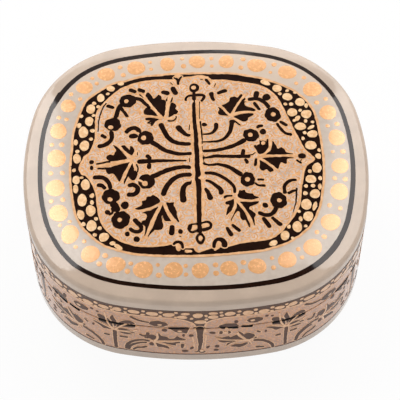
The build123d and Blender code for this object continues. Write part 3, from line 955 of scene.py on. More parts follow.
RIGHT_STROKES = [
    ([(5.3, 29.3), (5.5, 27.4), (6.3, 25.6)], 1.8, 1.1),
    ([(7.3, 28.5), (9.0, 29.4), (10.8, 29.8)], 1.3, 1.5),
    ([(12.0, 17.9), (11.8, 15.0), (11.0, 12.5), (9.5, 10.5), (7.5, 9.4), (5.0, 9.1), (2.1, 9.1)], 1.7, 0.6),
    ([(6.8, 16.7), (6.6, 14.5), (5.7, 13.0), (4.5, 12.4), (2.5, 12.1)], 1.6, 0.6),
    ([(16.6, 10.0), (14.0, 8.3), (11.5, 7.1), (8.0, 6.0), (5.0, 5.6), (2.1, 5.4)], 1.7, 1.1),
    ([(20.4, 14.3), (20.9, 15.1), (22.5, 15.3)], 1.1, 1.3),
    ([(2.3, 2.7), (4.0, 3.0), (6.2, 3.5)], 0.6, 1.4),
    ([(5.0, 3.4), (7.0, 3.4), (10.0, 3.3), (14.5, 3.2), (17.9, 3.2)], 1.3, 1.5),
    ([(17.0, 3.7), (18.4, 3.9), (19.6, 4.7)], 0.6, 0.35),
    ([(15.7, 6.1), (15.4, 4.6), (15.4, 3.4)], 1.3, 1.4),
    ([(15.9, 2.3), (16.4, 1.4), (16.9, 0.3)], 1.1, 1.3),
    ([(19.7, 2.5), (19.5, 1.0), (19.3, -0.7)], 0.8, 1.0),
    ([(19.3, 7.7), (20.2, 5.8), (20.9, 4.4), (22.3, 4.9), (23.3, 6.2), (23.6, 8.0), (23.7, 10.0)], 0.9, 0.7),
    ([(21.3, 8.4), (21.2, 9.7)], 0.5, 0.3),
    ([(32.9, 1.7), (33.6, 0.9), (34.6, 0.3)], 0.8, 0.8),
    ([(34.0, 0.9), (34.8, 1.7)], 0.4, 0.3),
    ([(24.7, 22.4), (23.4, 24.5), (21.8, 25.9), (20.3, 26.3), (17.6, 26.0)], 1.5, 1.5),
    ([(20.3, 26.4), (20.4, 27.4), (20.9, 29.4)], 1.6, 2.1),
    ([(19.5, 24.9), (20.4, 23.4), (21.5, 21.6)], 1.1, 1.2),
    ([(28.0, 17.0), (29.2, 16.1), (30.5, 15.2)], 1.3, 1.1),
    ([(26.9, 16.4), (28.3, 13.9), (29.6, 12.3), (32.0, 11.5)], 1.0, 1.1),
    ([(2.2, 0.5), (3.0, 0.25), (4.2, -0.05)], 1.1, 0.6),
    ([(3.6, -0.05), (5.5, 0.05), (7.0, 0.15), (9.0, -0.25), (11.0, -1.2), (13.0, -2.6),
        (15.0, -4.3)], 0.8, 1.9),
    ([(19.8, -5.9), (21.0, -5.9), (22.1, -6.0)], 0.8, 0.9),
    ([(19.1, -7.1), (19.9, -8.0), (21.0, -8.3), (22.5, -8.2)], 0.6, 1.0),
    ([(2.6, -3.2), (4.5, -3.15), (6.0, -3.5), (7.0, -3.95), (9.1, -5.2), (11.2, -7.3), (12.2, -8.8),
        (12.3, -11.1)],
     1.3, 1.1),
    ([(2.8, -6.0), (4.4, -6.5), (6.2, -8.0), (7.7, -9.5), (8.0, -11.6)], 1.0, 1.8),
    ([(2.7, -8.9), (3.7, -10.8), (4.6, -13.6)], 1.1, 2.0),
    ([(28.7, -11.6), (28.5, -9.0), (29.2, -7.6), (30.4, -6.5), (31.5, -6.2), (32.7, -6.2)], 1.4, 1.0),
    ([(29.4, -11.5), (31.0, -10.6), (32.7, -10.2)], 1.2, 0.9),
    ([(25.8, -16.6), (24.6, -18.6), (23.2, -19.5), (21.5, -19.3), (19.6, -18.4)], 1.6, 1.3),
    ([(21.1, -20.2), (22.3, -22.3), (23.4, -24.3)], 1.4, 1.6),
    ([(23.9, -20.2), (25.5, -21.9), (27.2, -23.5)], 1.1, 1.6),
    ([(11.1, -22.8), (12.4, -24.2), (13.8, -25.5)], 0.9, 1.4),
    ([(9.4, -23.8), (10.2, -25.5), (11.1, -27.2)], 1.0, 1.8),
    ([(8.6, -12.8), (9.8, -12.1), (11.5, -12.0)], 1.0, 0.6),
]
INNER_HAIRLINES = [
    ([(-32.6, 13.6), (-32.4, 18.0), (-31.8, 21.0), (-31.0, 23.5), (-30.0, 25.2)], 0.35, 0.5),
    ([(32.5, -9.2), (32.3, -12.5), (31.9, -15.2), (31.0, -18.6)], 0.7, 0.25),
]
LEFT_LOBES = [
    [(-10.75, 19.2), (-12.4, 21.8), (-14.4, 25.2), (-16.3, 28.0), (-16.6, 29.1), (-15.8, 29.4), (-14.9, 28.2),
     (-14.1, 26.8), (-13.4, 27.4), (-12.4, 28.4), (-11.5, 27.6), (-11.4, 26.4), (-10.6, 26.2), (-10.0, 25.5),
     (-10.0, 24.0), (-10.3, 20.8)],
    [(-9.15, 19.2), (-8.9, 22.0), (-8.6, 24.2), (-7.9, 25.1), (-7.0, 24.6), (-6.4, 23.7), (-6.8, 22.6),
     (-5.9, 21.5), (-6.4, 20.4), (-7.3, 20.2), (-8.3, 19.4)],
    [(-12.7, 19.8), (-15.0, 20.0), (-17.0, 20.3), (-17.5, 21.3), (-17.1, 22.6), (-16.0, 23.4), (-14.8, 22.4),
     (-13.6, 21.2)],
    [(-12.3, 18.3), (-14.5, 19.0), (-16.9, 18.9), (-16.7, 18.0), (-15.4, 17.9), (-16.3, 17.0), (-15.6, 16.6),
     (-15.1, 17.2), (-15.2, 16.2), (-14.8, 15.6), (-14.2, 16.2), (-13.3, 17.6)],
    [(-22.8, 2.8), (-24.0, 4.8), (-25.5, 6.9), (-27.5, 8.2), (-26.5, 6.2), (-27.0, 5.2), (-27.4, 4.2),
     (-28.5, 4.5), (-29.5, 3.9), (-29.5, 2.6), (-28.2, 1.8), (-25.5, 2.1)],
    [(-21.2, 4.2), (-22.3, 4.7), (-24.0, 6.3), (-24.9, 7.6), (-23.8, 8.2), (-22.7, 7.0), (-22.1, 6.2),
     (-21.8, 7.7), (-20.9, 7.2), (-20.4, 5.8)],
    [(-22.0, 1.5), (-25.2, 0.6), (-28.0, -0.3), (-29.8, -1.6), (-28.9, -3.2), (-27.6, -2.9), (-26.4, -4.2),
     (-25.2, -6.2), (-24.3, -3.8), (-23.1, -1.2)],
    [(-20.7, 1.5), (-20.4, -1.0), (-19.4, -3.0), (-19.9, -5.0), (-20.8, -5.7), (-21.9, -5.0), (-22.5, -4.2),
     (-23.0, -5.8), (-23.6, -7.0), (-23.8, -6.5), (-23.2, -4.0), (-22.3, -1.0), (-21.4, 1.0)],
    [(-12.0, -13.4), (-13.2, -12.0), (-14.3, -11.3), (-15.1, -11.9), (-15.9, -11.9), (-16.4, -12.4),
     (-16.7, -13.3), (-17.9, -13.7), (-18.0, -15.2), (-20.1, -16.5), (-19.0, -17.0), (-17.0, -16.6),
     (-15.2, -16.0), (-13.5, -15.2), (-12.3, -14.4)],
    [(-12.6, -15.9), (-13.6, -16.3), (-15.0, -17.1), (-17.8, -18.1), (-16.7, -18.5), (-16.2, -19.2),
     (-16.7, -20.7), (-17.8, -21.2), (-17.9, -22.2), (-17.1, -23.0), (-16.7, -23.6), (-16.9, -25.0),
     (-17.1, -26.9), (-16.5, -26.0), (-15.9, -24.0), (-15.2, -21.9), (-14.3, -19.6), (-13.3, -17.4)],
    [(-11.2, -15.2), (-10.8, -16.1), (-10.2, -17.6), (-9.6, -19.1), (-8.9, -20.5), (-8.4, -21.4),
        (-9.4, -21.4),
     (-10.4, -21.3), (-10.9, -20.3), (-11.2, -19.3), (-11.5, -19.5), (-11.3, -21.0), (-11.0, -22.6),
     (-11.1, -23.8), (-11.7, -24.6), (-12.8, -24.7), (-13.8, -24.6), (-14.3, -25.4), (-15.2, -26.4),
     (-15.9, -27.2), (-15.3, -25.4), (-14.4, -23.6), (-13.8, -21.8), (-13.1, -19.9), (-12.4, -18.1),
     (-11.8, -16.6)],
    [(-10.0, -14.3), (-8.8, -14.5), (-7.5, -14.3), (-7.6, -15.4), (-7.2, -16.2), (-6.9, -17.2), (-6.5, -17.8),
     (-6.6, -18.6), (-6.3, -20.0), (-5.8, -21.4), (-6.1, -21.9), (-6.8, -20.9), (-7.6, -20.0), (-8.5, -18.4),
     (-9.1, -17.2), (-9.6, -15.8)],
]
RIGHT_LOBES = [
    [(11.3, 20.3), (10.1, 22.0), (8.8, 23.7), (10.0, 24.3), (11.2, 25.4), (11.6, 26.8), (13.1, 27.4),
     (14.1, 26.9), (15.2, 28.3), (15.9, 27.9), (14.7, 25.7), (13.4, 23.6), (12.2, 21.4)],
    [(13.0, 21.1), (14.0, 23.2), (15.2, 25.3), (16.6, 26.8), (16.7, 26.0), (16.3, 25.3), (17.3, 25.1),
     (16.4, 24.6), (16.7, 23.6), (17.8, 23.0), (19.0, 22.6), (20.0, 21.8), (19.5, 21.2), (17.5, 21.4),
     (15.0, 21.3)],
    [(12.7, 19.0), (13.7, 19.7), (15.5, 20.2), (18.9, 20.4), (19.3, 19.9), (18.4, 19.1), (17.6, 18.6),
     (17.3, 17.6), (16.5, 17.1), (15.5, 17.1), (14.6, 17.7), (13.6, 18.3)],
    [(10.8, 19.5), (9.8, 20.9), (8.7, 22.2), (7.5, 23.2), (7.9, 21.9), (7.4, 20.9), (7.8, 20.0), (9.5, 19.6)],
    [(12.5, 17.9), (13.3, 17.4), (14.0, 16.7), (15.0, 15.6), (14.3, 15.6), (13.4, 16.4), (12.8, 17.1)],
    [(23.0, 3.9), (24.3, 5.3), (25.0, 7.0), (25.3, 9.2), (26.3, 7.6), (27.0, 6.1), (28.1, 6.6), (29.2, 5.8),
     (29.8, 4.6), (31.8, 4.0), (27.0, 3.8)],
    [(20.0, 7.4), (20.3, 6.0), (21.0, 4.7), (22.3, 5.0), (23.2, 6.4), (23.6, 7.9), (22.9, 7.7), (22.1, 7.2),
     (21.4, 7.4), (21.0, 8.0)],
    [(21.5, 2.3), (23.0, 2.6), (25.0, 2.75), (29.0, 2.85), (32.4, 2.5), (31.0, 2.2), (29.8, 1.8), (29.7, 0.2),
     (28.9, 0.2), (28.1, 0.6), (27.6, 0.3), (27.2, -0.7), (26.7, -1.9), (25.6, -0.9), (24.0, 0.6),
     (22.7, 1.6)],
    [(20.8, 1.7), (21.6, 1.2), (22.8, 0.4), (24.2, -0.9), (25.3, -2.2), (25.0, -2.8), (23.9, -3.0),
     (23.3, -2.3), (22.8, -2.0), (22.0, -2.6), (21.2, -2.3), (20.7, -1.3), (20.8, 0.2)],
    [(13.1, -12.0), (13.4, -11.0), (13.9, -9.9), (14.5, -10.1), (15.6, -9.8), (16.0, -10.8), (17.2, -11.2),
     (18.2, -11.3), (18.7, -12.1), (20.1, -12.8), (19.0, -13.3), (17.3, -13.6), (15.2, -13.4), (13.6, -12.8)],
    [(14.1, -14.4), (17.0, -14.5), (20.0, -14.3), (19.4, -15.2), (18.3, -15.8), (17.1, -16.3), (16.9, -17.2),
     (18.2, -18.2), (19.0, -19.2), (18.4, -20.4), (18.5, -22.0), (18.5, -23.6), (17.9, -21.8), (17.2, -19.9),
     (16.0, -17.8), (15.0, -16.0)],
    [(12.9, -14.3), (13.7, -15.9), (14.8, -17.5), (15.7, -19.2), (16.4, -21.2), (17.0, -23.6), (16.5, -23.9),
     (15.9, -22.2), (15.4, -21.2), (14.6, -21.4), (13.9, -20.4), (13.8, -18.9), (13.4, -17.9), (12.7, -18.2),
     (11.8, -19.6), (11.0, -21.5), (10.7, -21.4), (11.6, -19.4), (12.3, -17.6), (12.8, -16.0)],
    [(11.9, -13.3), (10.9, -13.7), (9.3, -14.4), (9.4, -15.3), (10.4, -15.4), (9.9, -16.6), (9.4, -18.2),
     (9.4, -19.4), (10.6, -18.3), (11.6, -16.8), (12.0, -15.2)],
]
LEFT_ROSETTES = [
    (-22.8, 25.95, 2.8, 2.7), (-27.7, 16.4, 2.7, 2.7), (-16.8, 10.9, 2.6, 2.85), (-28.0, -11.8, 2.85, 2.95),
    (-24.7, -20.7, 2.95, 3.35), (-16.4, -6.2, 2.65, 2.95),
]
LEFT_ROSETTE_EYES = [
    (-23.3, 25.8, 0.78), (-28.4, 15.3, 0.85), (-17.4, 10.9, 0.9), (-28.2, -12.9, 0.85),
    (-25.0, -20.7, 0.7, 0.9), (-16.9, -7.0, 0.95),
]
RIGHT_ROSETTES = [
    (18.25, 11.6, 2.65, 2.5), (25.75, 19.7, 2.7, 2.85), (16.7, -5.8, 2.45, 2.75), (26.5, -13.95, 2.75, 3.0),
]
RIGHT_ROSETTE_EYES = [(18.0, 11.7, 0.85), (25.9, 19.8, 0.85), (16.6, -5.8, 0.9), (26.7, -14.0, 0.8)]
BLACK_SPOTS = [
    (-20.8, 11.7, 1.5, 1.1), (-34.5, 1.6, 0.85), (-34.5, -0.7, 0.6, 0.9), (-29.0, -17.8, 0.9),
    (-23.4, -15.2, 1.3, 1.5), (-22.5, -26.0, 0.85, 1.0), (-19.5, -28.0, 1.05), (-5.5, -25.3, 0.8, 1.0),
    (2.8, 16.0, 0.95, 0.85), (22.2, 12.9, 1.1), (22.05, 8.3, 1.1), (34.8, 3.1, 1.3, 1.15), (23.9, 26.9, 1.4),
    (22.1, -15.8, 1.0, 0.95),
]
GOLD_VEINS = [
    ([(-11.3, 18.7), (-15.4, 24.6), (-18.6, 29.4)], 1.0, 0.7),
    ([(-10.6, 18.7), (-9.6, 21.5), (-9.0, 27.4)], 0.9, 0.55),
    ([(-11.4, 18.6), (-14.0, 19.4), (-18.4, 19.9)], 0.9, 0.6),
    ([(-10.5, 18.6), (-8.8, 18.7), (-7.2, 18.9)], 0.8, 0.6),
    ([(-11.6, 18.0), (-13.4, 15.6)], 0.8, 0.5),
    ([(-21.0, 2.4), (-23.6, 5.2), (-26.0, 8.6)], 0.9, 0.6),
    ([(-21.0, 2.2), (-26.0, 1.1), (-33.2, -0.1)], 1.1, 0.8),
    ([(-21.0, 2.2), (-22.6, -1.4), (-24.4, -6.8)], 1.0, 0.65),
    ([(-20.8, 2.4), (-20.1, 4.8), (-19.3, 6.0)], 0.8, 0.5),
    ([(-20.8, 2.0), (-20.3, -0.6), (-20.2, -2.0)], 0.8, 0.5),
    ([(-11.4, -14.3), (-13.0, -15.35), (-15.0, -16.4), (-17.0, -17.15), (-20.4, -17.6)], 0.6, 0.6),
    ([(-11.4, -14.8), (-12.5, -17.0), (-13.85, -20.0), (-15.0, -23.0), (-16.1, -26.4),
        (-16.6, -28.0)], 0.75, 0.6),
    ([(-10.7, -14.3), (-10.2, -16.0), (-9.5, -18.0), (-8.4, -20.2), (-7.2, -22.2)], 0.75, 0.8),
    ([(11.8, 19.2), (13.5, 23.0), (15.7, 26.5), (17.0, 28.4)], 0.9, 0.6),
    ([(11.5, 19.2), (9.5, 22.2), (7.7, 24.4)], 0.85, 0.5),
    ([(11.8, 18.9), (13.0, 20.1), (15.5, 20.75), (20.6, 20.85)], 0.9, 0.6),
    ([(12.2, 18.5), (13.9, 17.4), (15.3, 16.0)], 0.6, 0.4),
    ([(21.2, 3.2), (27.0, 3.3), (33.6, 3.3)], 0.95, 0.8),
    ([(21.0, 3.1), (22.5, 4.0), (24.3, 6.6), (24.5, 9.8)], 0.9, 0.6),
    ([(21.0, 2.3), (22.4, 1.35), (23.9, 0.2), (25.2, -1.1), (26.7, -2.8)], 0.8, 0.5),
    ([(20.8, 2.8), (20.3, 1.0), (20.4, -1.4)], 0.8, 0.5),
    ([(12.2, -13.2), (15.6, -13.95), (20.4, -13.9)], 0.8, 0.6),
    ([(12.5, -13.5), (14.45, -16.0), (15.75, -18.0), (16.7, -20.0), (17.35, -22.0), (17.6, -24.8)], 0.9, 0.6),
    ([(12.4, -13.5), (12.3, -15.2), (11.7, -17.1), (10.9, -19.0), (10.1, -20.9)], 0.75, 0.35),
    ([(12.3, -12.8), (10.5, -13.1), (8.5, -13.7)], 0.7, 0.9),
    ([(12.6, -12.9), (13.0, -11.6)], 0.7, 0.5),
    ([(-21.6, 12.9), (-20.2, 13.2), (-18.9, 12.6)], 0.7, 0.6),
    ([(-19.4, -5.6), (-18.2, -6.0), (-17.0, -6.9)], 0.7, 0.7),
]
GOLD_LOOPS = [
    ([(-7.0, 35.5), (-6.0, 36.2), (-5.0, 35.9)], 1.3, 1.2),
    ([(1.0, 35.4), (2.8, 35.5), (4.6, 35.2)], 0.8, 1.0),
    ([(-6.6, -29.9), (-6.4, -31.2), (-5.8, -32.5)], 0.9, 1.3),
    ([(6.7, -29.0), (6.8, -30.4), (6.5, -31.4), (5.2, -32.4)], 1.0, 0.9),
    ([(-4.1, -32.5), (-1.8, -32.7)], 1.1, 0.9),
    ([(0.6, 25.5), (0.65, 20.0), (0.95, 15.5), (1.25, 12.0), (1.35, 8.0), (1.6, 4.0), (1.6, 0.0), (2.0, -3.0),
      (2.0, -8.0), (2.1, -13.0), (1.9, -20.5)], 0.75, 0.7),
    ([(-1.9, 24.0), (-1.7, 16.0), (-1.4, 12.0), (-1.3, 8.0), (-1.1, 2.0), (-1.0, -6.0), (-0.8, -13.0),
      (-0.7, -20.0)], 0.6, 0.7),
    ([(0.7, -5.1), (2.0, -5.0)], 1.0, 0.9),
]
GOLD_EYES = [
    (-0.6, 31.15, 0.78), (2.3, -23.1, 1.05, 0.6, 10), (-1.0, -23.9, 1.15, 0.55, 48), (0.9, -27.9, 0.65, 1.0),
    (22.2, 8.35, 0.7),
]


def edging_of(name, lines, lobes, rosettes):
    """The gold that shows round strokes, lobes and rosettes once their black is on."""
    edges = [strokes(name + "_stroke_edges", lines, OUTLINE)]
    edges.append(strokes(name + "_lobe_edges", [edge_stroke(lobe, 2 * OUTLINE) for lobe in lobes]))
    return edges, [(x, y, across + ROSETTE_EDGE, along + ROSETTE_EDGE) for x, y, across, along in rosettes]


black_lines = CENTRE_STROKES + LEFT_STROKES + RIGHT_STROKES
black_shapes = LEFT_LOBES + RIGHT_LOBES
rosettes = LEFT_ROSETTES + RIGHT_ROSETTES
edged, wider = edging_of("lid", black_lines, black_shapes, rosettes + CENTRE_RINGS)
edged += [daub(*placed) for placed in wider]
for x, y, across, *rest in BLACK_SPOTS:
    edged.append(daub(x, y, across + OUTLINE, (rest[0] if rest else across) + OUTLINE))
outlines = gathered("lid_motif_edging", edged)
dress(laid_on_lid(outlines, EDGING_DEPTH), "lid", "lacquered_coat", line_gold)

filled = [strokes("stroke_fills", black_lines + INNER_HAIRLINES)]
filled += [patch(lobe) for lobe in black_shapes]
filled += [daub(*rosette, petals=PETALS) for rosette in rosettes]
filled += [daub(*spot) for spot in CENTRE_RINGS + BLACK_SPOTS]
motifs = gathered("lid_black_motifs", filled)
dress(laid_on_lid(motifs, MOTIF_DEPTH), "lid", "lacquered_coat", black)

finest = [strokes("veins", GOLD_VEINS + GOLD_LOOPS)]
finest += [daub(*eye) for eye in LEFT_ROSETTE_EYES + RIGHT_ROSETTE_EYES + GOLD_EYES]
veins = gathered("lid_gold_veins", finest)
dress(laid_on_lid(veins, VEIN_DEPTH), "lid", "lacquered_coat", line_gold)

# ------------------------------------------------------ bands round the walls
# The same gold ground runs round both halves and over their lips at the seam.  A
# black rule closes it below, and a black band above, just under the lid's edge.
GOLD_GROUND = 0.12
BAND_DEPTH = 0.10
RULE_DEPTH = 0.09
WALL_BED = 0.4
WALL_FOOT = 5.0
RULE_HALF = 0.3
WALL_TOP = 35.2
NET_FOOT = 30.7
wall_ground = filigree(
    "gold_scrolls_wall",
    (0.41, 0.225, 0.145),
    (0.56, 0.325, 0.22),
    (0.52, 0.225, 0.085),
    (0.70, 0.345, 0.16),
)
base_ground = swept(
    "base_gold_ground",
    [
        (GOLD_GROUND, WALL_FOOT),
        (GOLD_GROUND, 14.0),
        (GOLD_GROUND, SEAM - LIP),
        (GOLD_GROUND + LIP, SEAM),
        (0.7, SEAM),
        (WALL_BED, WALL_FOOT),
    ],
)
dress(base_ground, "base", "lacquered_coat", wall_ground)
lid_ground = swept(
    "lid_gold_ground",
    [
        (0.7, SEAM),
        (GOLD_GROUND + LIP, SEAM),
        (GOLD_GROUND, SEAM + LIP),
        (GOLD_GROUND, 29.0),
        (GOLD_GROUND, WALL_TOP),
        (WALL_BED, WALL_TOP),
    ],
)
dress(lid_ground, "lid", "lacquered_coat", wall_ground)


def level_band(name, depth, foot, top):
    """A plain band of paint round the walls."""
    return swept(name, [(depth, foot), (depth, top), (WALL_BED, top), (WALL_BED, foot)])


thin_black = paint("thin_black_paint", (0.075, 0.03, 0.014), (0.11, 0.045, 0.022), 3.0, 0.4, coat=0.5)
net = level_band("lid_black_band", BAND_DEPTH, NET_FOOT, WALL_TOP)
dress(net, "lid", "lacquered_coat", thin_black)
wall_black = paint("black_paint_walls", (0.075, 0.028, 0.012), (0.105, 0.04, 0.018), 3.0, 0.4, coat=0.42)
low_rule = level_band("base_black_rule", RULE_DEPTH, WALL_FOOT - RULE_HALF, WALL_FOOT + RULE_HALF)
dress(low_rule, "base", "lacquered_coat", wall_black)

# -------------------------------------------------------- painting of the walls
# One drawing, a post with a leaf on each side of it and a tall plant, goes round the
# walls six times.  It is painted with the lid on, so each motif crosses the seam, and
# there dull black streaks of painted shade lie over the lips and along the seam.
UNIT_START = -27.6
UNIT_END = 28.7
UNITS = 6
CUT = 1.5
WALL_FILM = 0.2
WALL_SHIFT = Vector((0.17, -0.32, 0)) * MM
stretched = (ROUND - (UNIT_END - UNIT_START)) / ((UNITS - 1) * (UNIT_END - UNIT_START))
PLACES = [(0.0, 1.0)]
for number in range(UNITS - 1):
    start = UNIT_END + number * stretched * (UNIT_END - UNIT_START)
    PLACES.append((start - UNIT_START * stretched, stretched))


def laid_on_walls(piece, name, depth, material):
    """Repeats a flat drawing round the walls, cut at the seam into a base and a lid half.

    It is first cut across at short steps, so that it can bend round the walls.
    """
    for corner in piece.data.vertices:
        corner.co += WALL_SHIFT + unsteady(corner.co)
    bpy.ops.object.select_all(action="DESELECT")
    piece.select_set(True)
    bpy.context.view_layer.objects.active = piece
    bpy.ops.object.mode_set(mode="EDIT")
    low = min(corner.co.x for corner in piece.data.vertices) / MM
    high = max(corner.co.x for corner in piece.data.vertices) / MM
    cuts = [((low + CUT * (step + 0.5), 0), (1, 0)) for step in range(int((high - low) / CUT))]
    cuts += [((0, SEAM + rise), (0, 1)) for rise in (-LIP, 0, LIP)]
    for (along, up), (across, over) in cuts:
        bpy.ops.mesh.select_all(action="SELECT")
        bpy.ops.mesh.bisect(
            plane_co=(along * MM, up * MM, 0), plane_no=(across, over, 0), threshold=1e-7
        )
    bpy.ops.object.mode_set(mode="OBJECT")
    copies = []
    for middle, stretch in PLACES:
        copy = piece.copy()
        copy.data = piece.data.copy()
        scene.collection.objects.link(copy)
        for corner in copy.data.vertices:
            corner.co.x = middle * MM + corner.co.x * stretch
        copies.append(copy)
    bpy.data.objects.remove(piece)
    whole = gathered("base_" + name, copies)
    bpy.ops.object.mode_set(mode="EDIT")
    bpy.ops.mesh.select_mode(type="FACE")
    bpy.ops.mesh.select_all(action="DESELECT")
    mesh = bmesh.from_edit_mesh(whole.data)
    above = [face for face in mesh.faces if face.calc_center_median().y > SEAM * MM]
    for face in above:
        face.select_set(True)
    bmesh.update_edit_mesh(whole.data)
    halves = [(whole, "base")]
    if 0 < len(above) < len(mesh.faces):
        bpy.ops.mesh.separate(type="SELECTED")
        upper = [item for item in bpy.context.selected_objects if item != whole][0]
        upper.name = "lid_" + name
        upper.data.name = upper.name
        halves.append((upper, "lid"))
    elif above:
        whole.name = "lid_" + name
        halves = [(whole, "lid")]
    bpy.ops.mesh.select_mode(type="VERT")
    bpy.ops.object.mode_set(mode="OBJECT")
    for half, body in halves:
        for corner in half.data.vertices:
            height = corner.co.y / MM
            lip = max(0.0, LIP - abs(height - SEAM))
            x, y = rim(corner.co.x / MM, depth + lip - corner.co.z / MM)
            corner.co = Vector((x, y, height)) * MM
        bedded(half, WALL_FILM)
        dress(half, body, "lacquered_coat", material)


WALL_STROKES = [
    ([(0.4, 25.2), (0.5, 19.0), (0.6, 13.0), (0.2, 7.9)], 2.6, 0.8),
    ([(0.2, 8.4), (0.4, 7.1), (1.3, 6.6), (2.3, 7.5)], 0.8, 0.7),
    ([(0.1, 8.3), (-0.5, 7.2), (-1.4, 7.3)], 0.7, 0.6),
    ([(7.3, 21.4), (7.2, 19.2)], 1.3, 0.9),
    ([(9.6, 21.0), (10.2, 20.2), (9.6, 19.3)], 0.8, 0.8),
    ([(13.8, 24.1), (15.5, 23.4), (17.6, 22.9)], 1.1, 1.7),
    ([(18.0, 13.0), (20.5, 12.1), (22.5, 10.7), (23.9, 8.8), (24.6, 7.0), (24.8, 5.4)], 1.5, 1.1),
    ([(18.8, 7.9), (21.8, 6.9)], 1.4, 1.0),
    ([(19.0, 19.3), (20.1, 17.7)], 0.9, 0.8),
    ([(17.6, 13.9), (19.1, 14.8)], 0.9, 1.2),
    ([(9.3, 10.8), (10.1, 12.4), (12.4, 13.0)], 0.9, 1.1),
    ([(-22.0, 29.5), (-20.5, 28.2), (-18.5, 27.1), (-15.8, 26.6)], 1.2, 0.9),
    ([(-16.0, 13.4), (-17.5, 14.0), (-19.5, 13.6), (-21.5, 12.3), (-23.0, 10.3), (-23.7, 8.0), (-23.9, 6.0)],
     1.2, 1.2),
    ([(-21.7, 6.1), (-20.3, 8.0), (-18.5, 8.6), (-17.0, 9.8)], 0.9, 1.3),
    ([(-5.2, 12.9), (-5.4, 9.8)], 1.3, 0.9),
    ([(-17.7, 16.0), (-16.4, 15.6)], 0.9, 0.9),
    ([(28.9, 18.2), (28.8, 12.0), (28.9, 5.8)], 1.3, 1.1),
    ([(25.3, 13.8), (27.3, 13.9)], 1.4, 1.1),
    ([(30.1, 14.5), (33.0, 14.5)], 1.1, 1.3),
    ([(32.7, 5.8), (33.2, 8.2), (34.6, 10.3), (36.8, 11.9), (38.6, 12.4)], 1.0, 1.1),
    ([(36.3, 17.8), (37.6, 16.9), (38.8, 17.6), (39.1, 19.7)], 1.0, 1.1),
]
WALL_LOBES = [
    [(5.4, 17.6), (7.5, 16.8), (9.6, 17.5), (10.4, 16.6), (12.3, 17.9), (13.1, 16.4), (14.8, 13.9),
     (13.0, 14.6), (10.0, 15.0), (7.8, 15.8)],
    [(6.4, 15.1), (9.0, 14.4), (12.3, 13.9), (10.5, 13.4), (8.2, 13.1), (7.0, 13.8)],
    [(12.9, 20.1), (13.3, 18.6), (14.2, 16.9), (15.2, 15.3), (15.3, 16.2), (14.6, 17.9), (13.5, 19.9)],
    [(14.6, 17.4), (15.9, 18.5), (17.3, 17.8), (18.4, 16.3), (17.9, 14.9), (16.3, 13.8), (15.0, 15.5)],
    [(10.5, 10.1), (12.0, 11.3), (14.0, 11.2), (15.6, 12.0), (16.2, 11.1), (15.4, 9.9), (13.6, 8.8),
        (12.5, 9.3)],
    [(-16.3, 18.0), (-14.5, 18.1), (-13.7, 17.0), (-14.7, 14.5), (-16.0, 15.6), (-16.9, 16.4)],
    [(-12.9, 19.9), (-12.1, 18.1), (-10.4, 17.5), (-9.5, 16.3), (-8.0, 16.6), (-7.0, 18.3), (-6.3, 17.4),
     (-4.3, 16.4), (-4.5, 15.6), (-8.0, 15.3), (-12.6, 14.7), (-13.4, 14.4), (-13.1, 16.6)],
    [(-12.3, 13.6), (-9.5, 13.4), (-8.0, 13.7), (-7.0, 14.6), (-5.9, 14.2), (-6.2, 13.3), (-7.4, 12.8),
     (-7.4, 11.5), (-9.0, 12.0), (-11.0, 12.7)],
    [(-14.0, 12.5), (-12.4, 12.1), (-10.5, 11.5), (-9.6, 9.1), (-11.8, 9.9), (-13.6, 10.2)],
    [(-9.8, 24.2), (-6.5, 24.8), (-2.9, 24.6), (-3.2, 22.8), (-3.9, 20.4), (-5.2, 20.9), (-6.8, 20.7),
     (-8.3, 22.2)],
    [(21.9, 20.6), (23.8, 20.9), (26.0, 19.7), (28.0, 18.6), (26.6, 17.9), (25.2, 17.8), (24.0, 19.2)],
    [(23.9, 26.4), (25.3, 26.7), (27.0, 25.4), (28.0, 23.6), (28.3, 21.4), (28.2, 19.8), (26.6, 20.9),
     (25.0, 21.7), (24.0, 22.0), (24.9, 23.6), (23.8, 24.6)],
    [(28.4, 28.4), (29.0, 27.0), (29.6, 24.6), (29.4, 21.6), (28.8, 20.9), (28.5, 23.4), (27.7, 26.0)],
    [(34.4, 26.0), (32.9, 26.4), (31.2, 25.2), (30.0, 23.2), (29.5, 20.8), (31.4, 21.6), (33.2, 21.5),
     (35.2, 22.4), (34.0, 23.8), (35.3, 24.6)],
    [(29.6, 19.3), (31.4, 20.5), (33.4, 19.8), (35.3, 17.9), (33.6, 18.2), (32.0, 18.5)],
    [(30.2, 17.4), (32.2, 17.9), (34.3, 17.1), (32.4, 16.6)],
]
WALL_ROSETTES = [
    (9.6, 24.5, 3.3, 1.9), (18.2, 27.0, 2.6, 1.8), (-12.9, 26.2, 2.9, 2.0),
]
WALL_EYES = [
    (9.0, 22.8, 0.6), (17.4, 26.9, 0.75, 0.6), (-12.4, 25.6, 0.7, 0.55), (-6.1, 21.8, 0.7, 0.6),
    (1.0, 8.0, 0.65, 0.8), (8.6, 20.3, 0.6),
]
WALL_SPOTS = [
    (3.1, 10.4, 0.5, 0.95, -20), (6.1, 10.7, 0.75, 0.95), (5.8, 8.1, 0.85, 0.7), (-2.2, 9.9, 0.55, 1.0, -25),
    (-4.4, 7.7, 1.1, 0.75), (4.5, 20.4, 1.1, 0.75, -20), (12.1, 27.1, 0.7, 1.0), (22.0, 28.6, 0.6),
    (23.8, 28.0, 0.5), (-11.0, 21.9, 0.95), (-2.4, 18.8, 0.75, 1.0, -20), (-4.8, 18.9, 0.5, 0.85),
    (-15.4, 11.6, 0.75, 1.1), (17.1, 11.1, 0.45, 0.8), (22.0, 18.0, 0.45, 0.8),
]
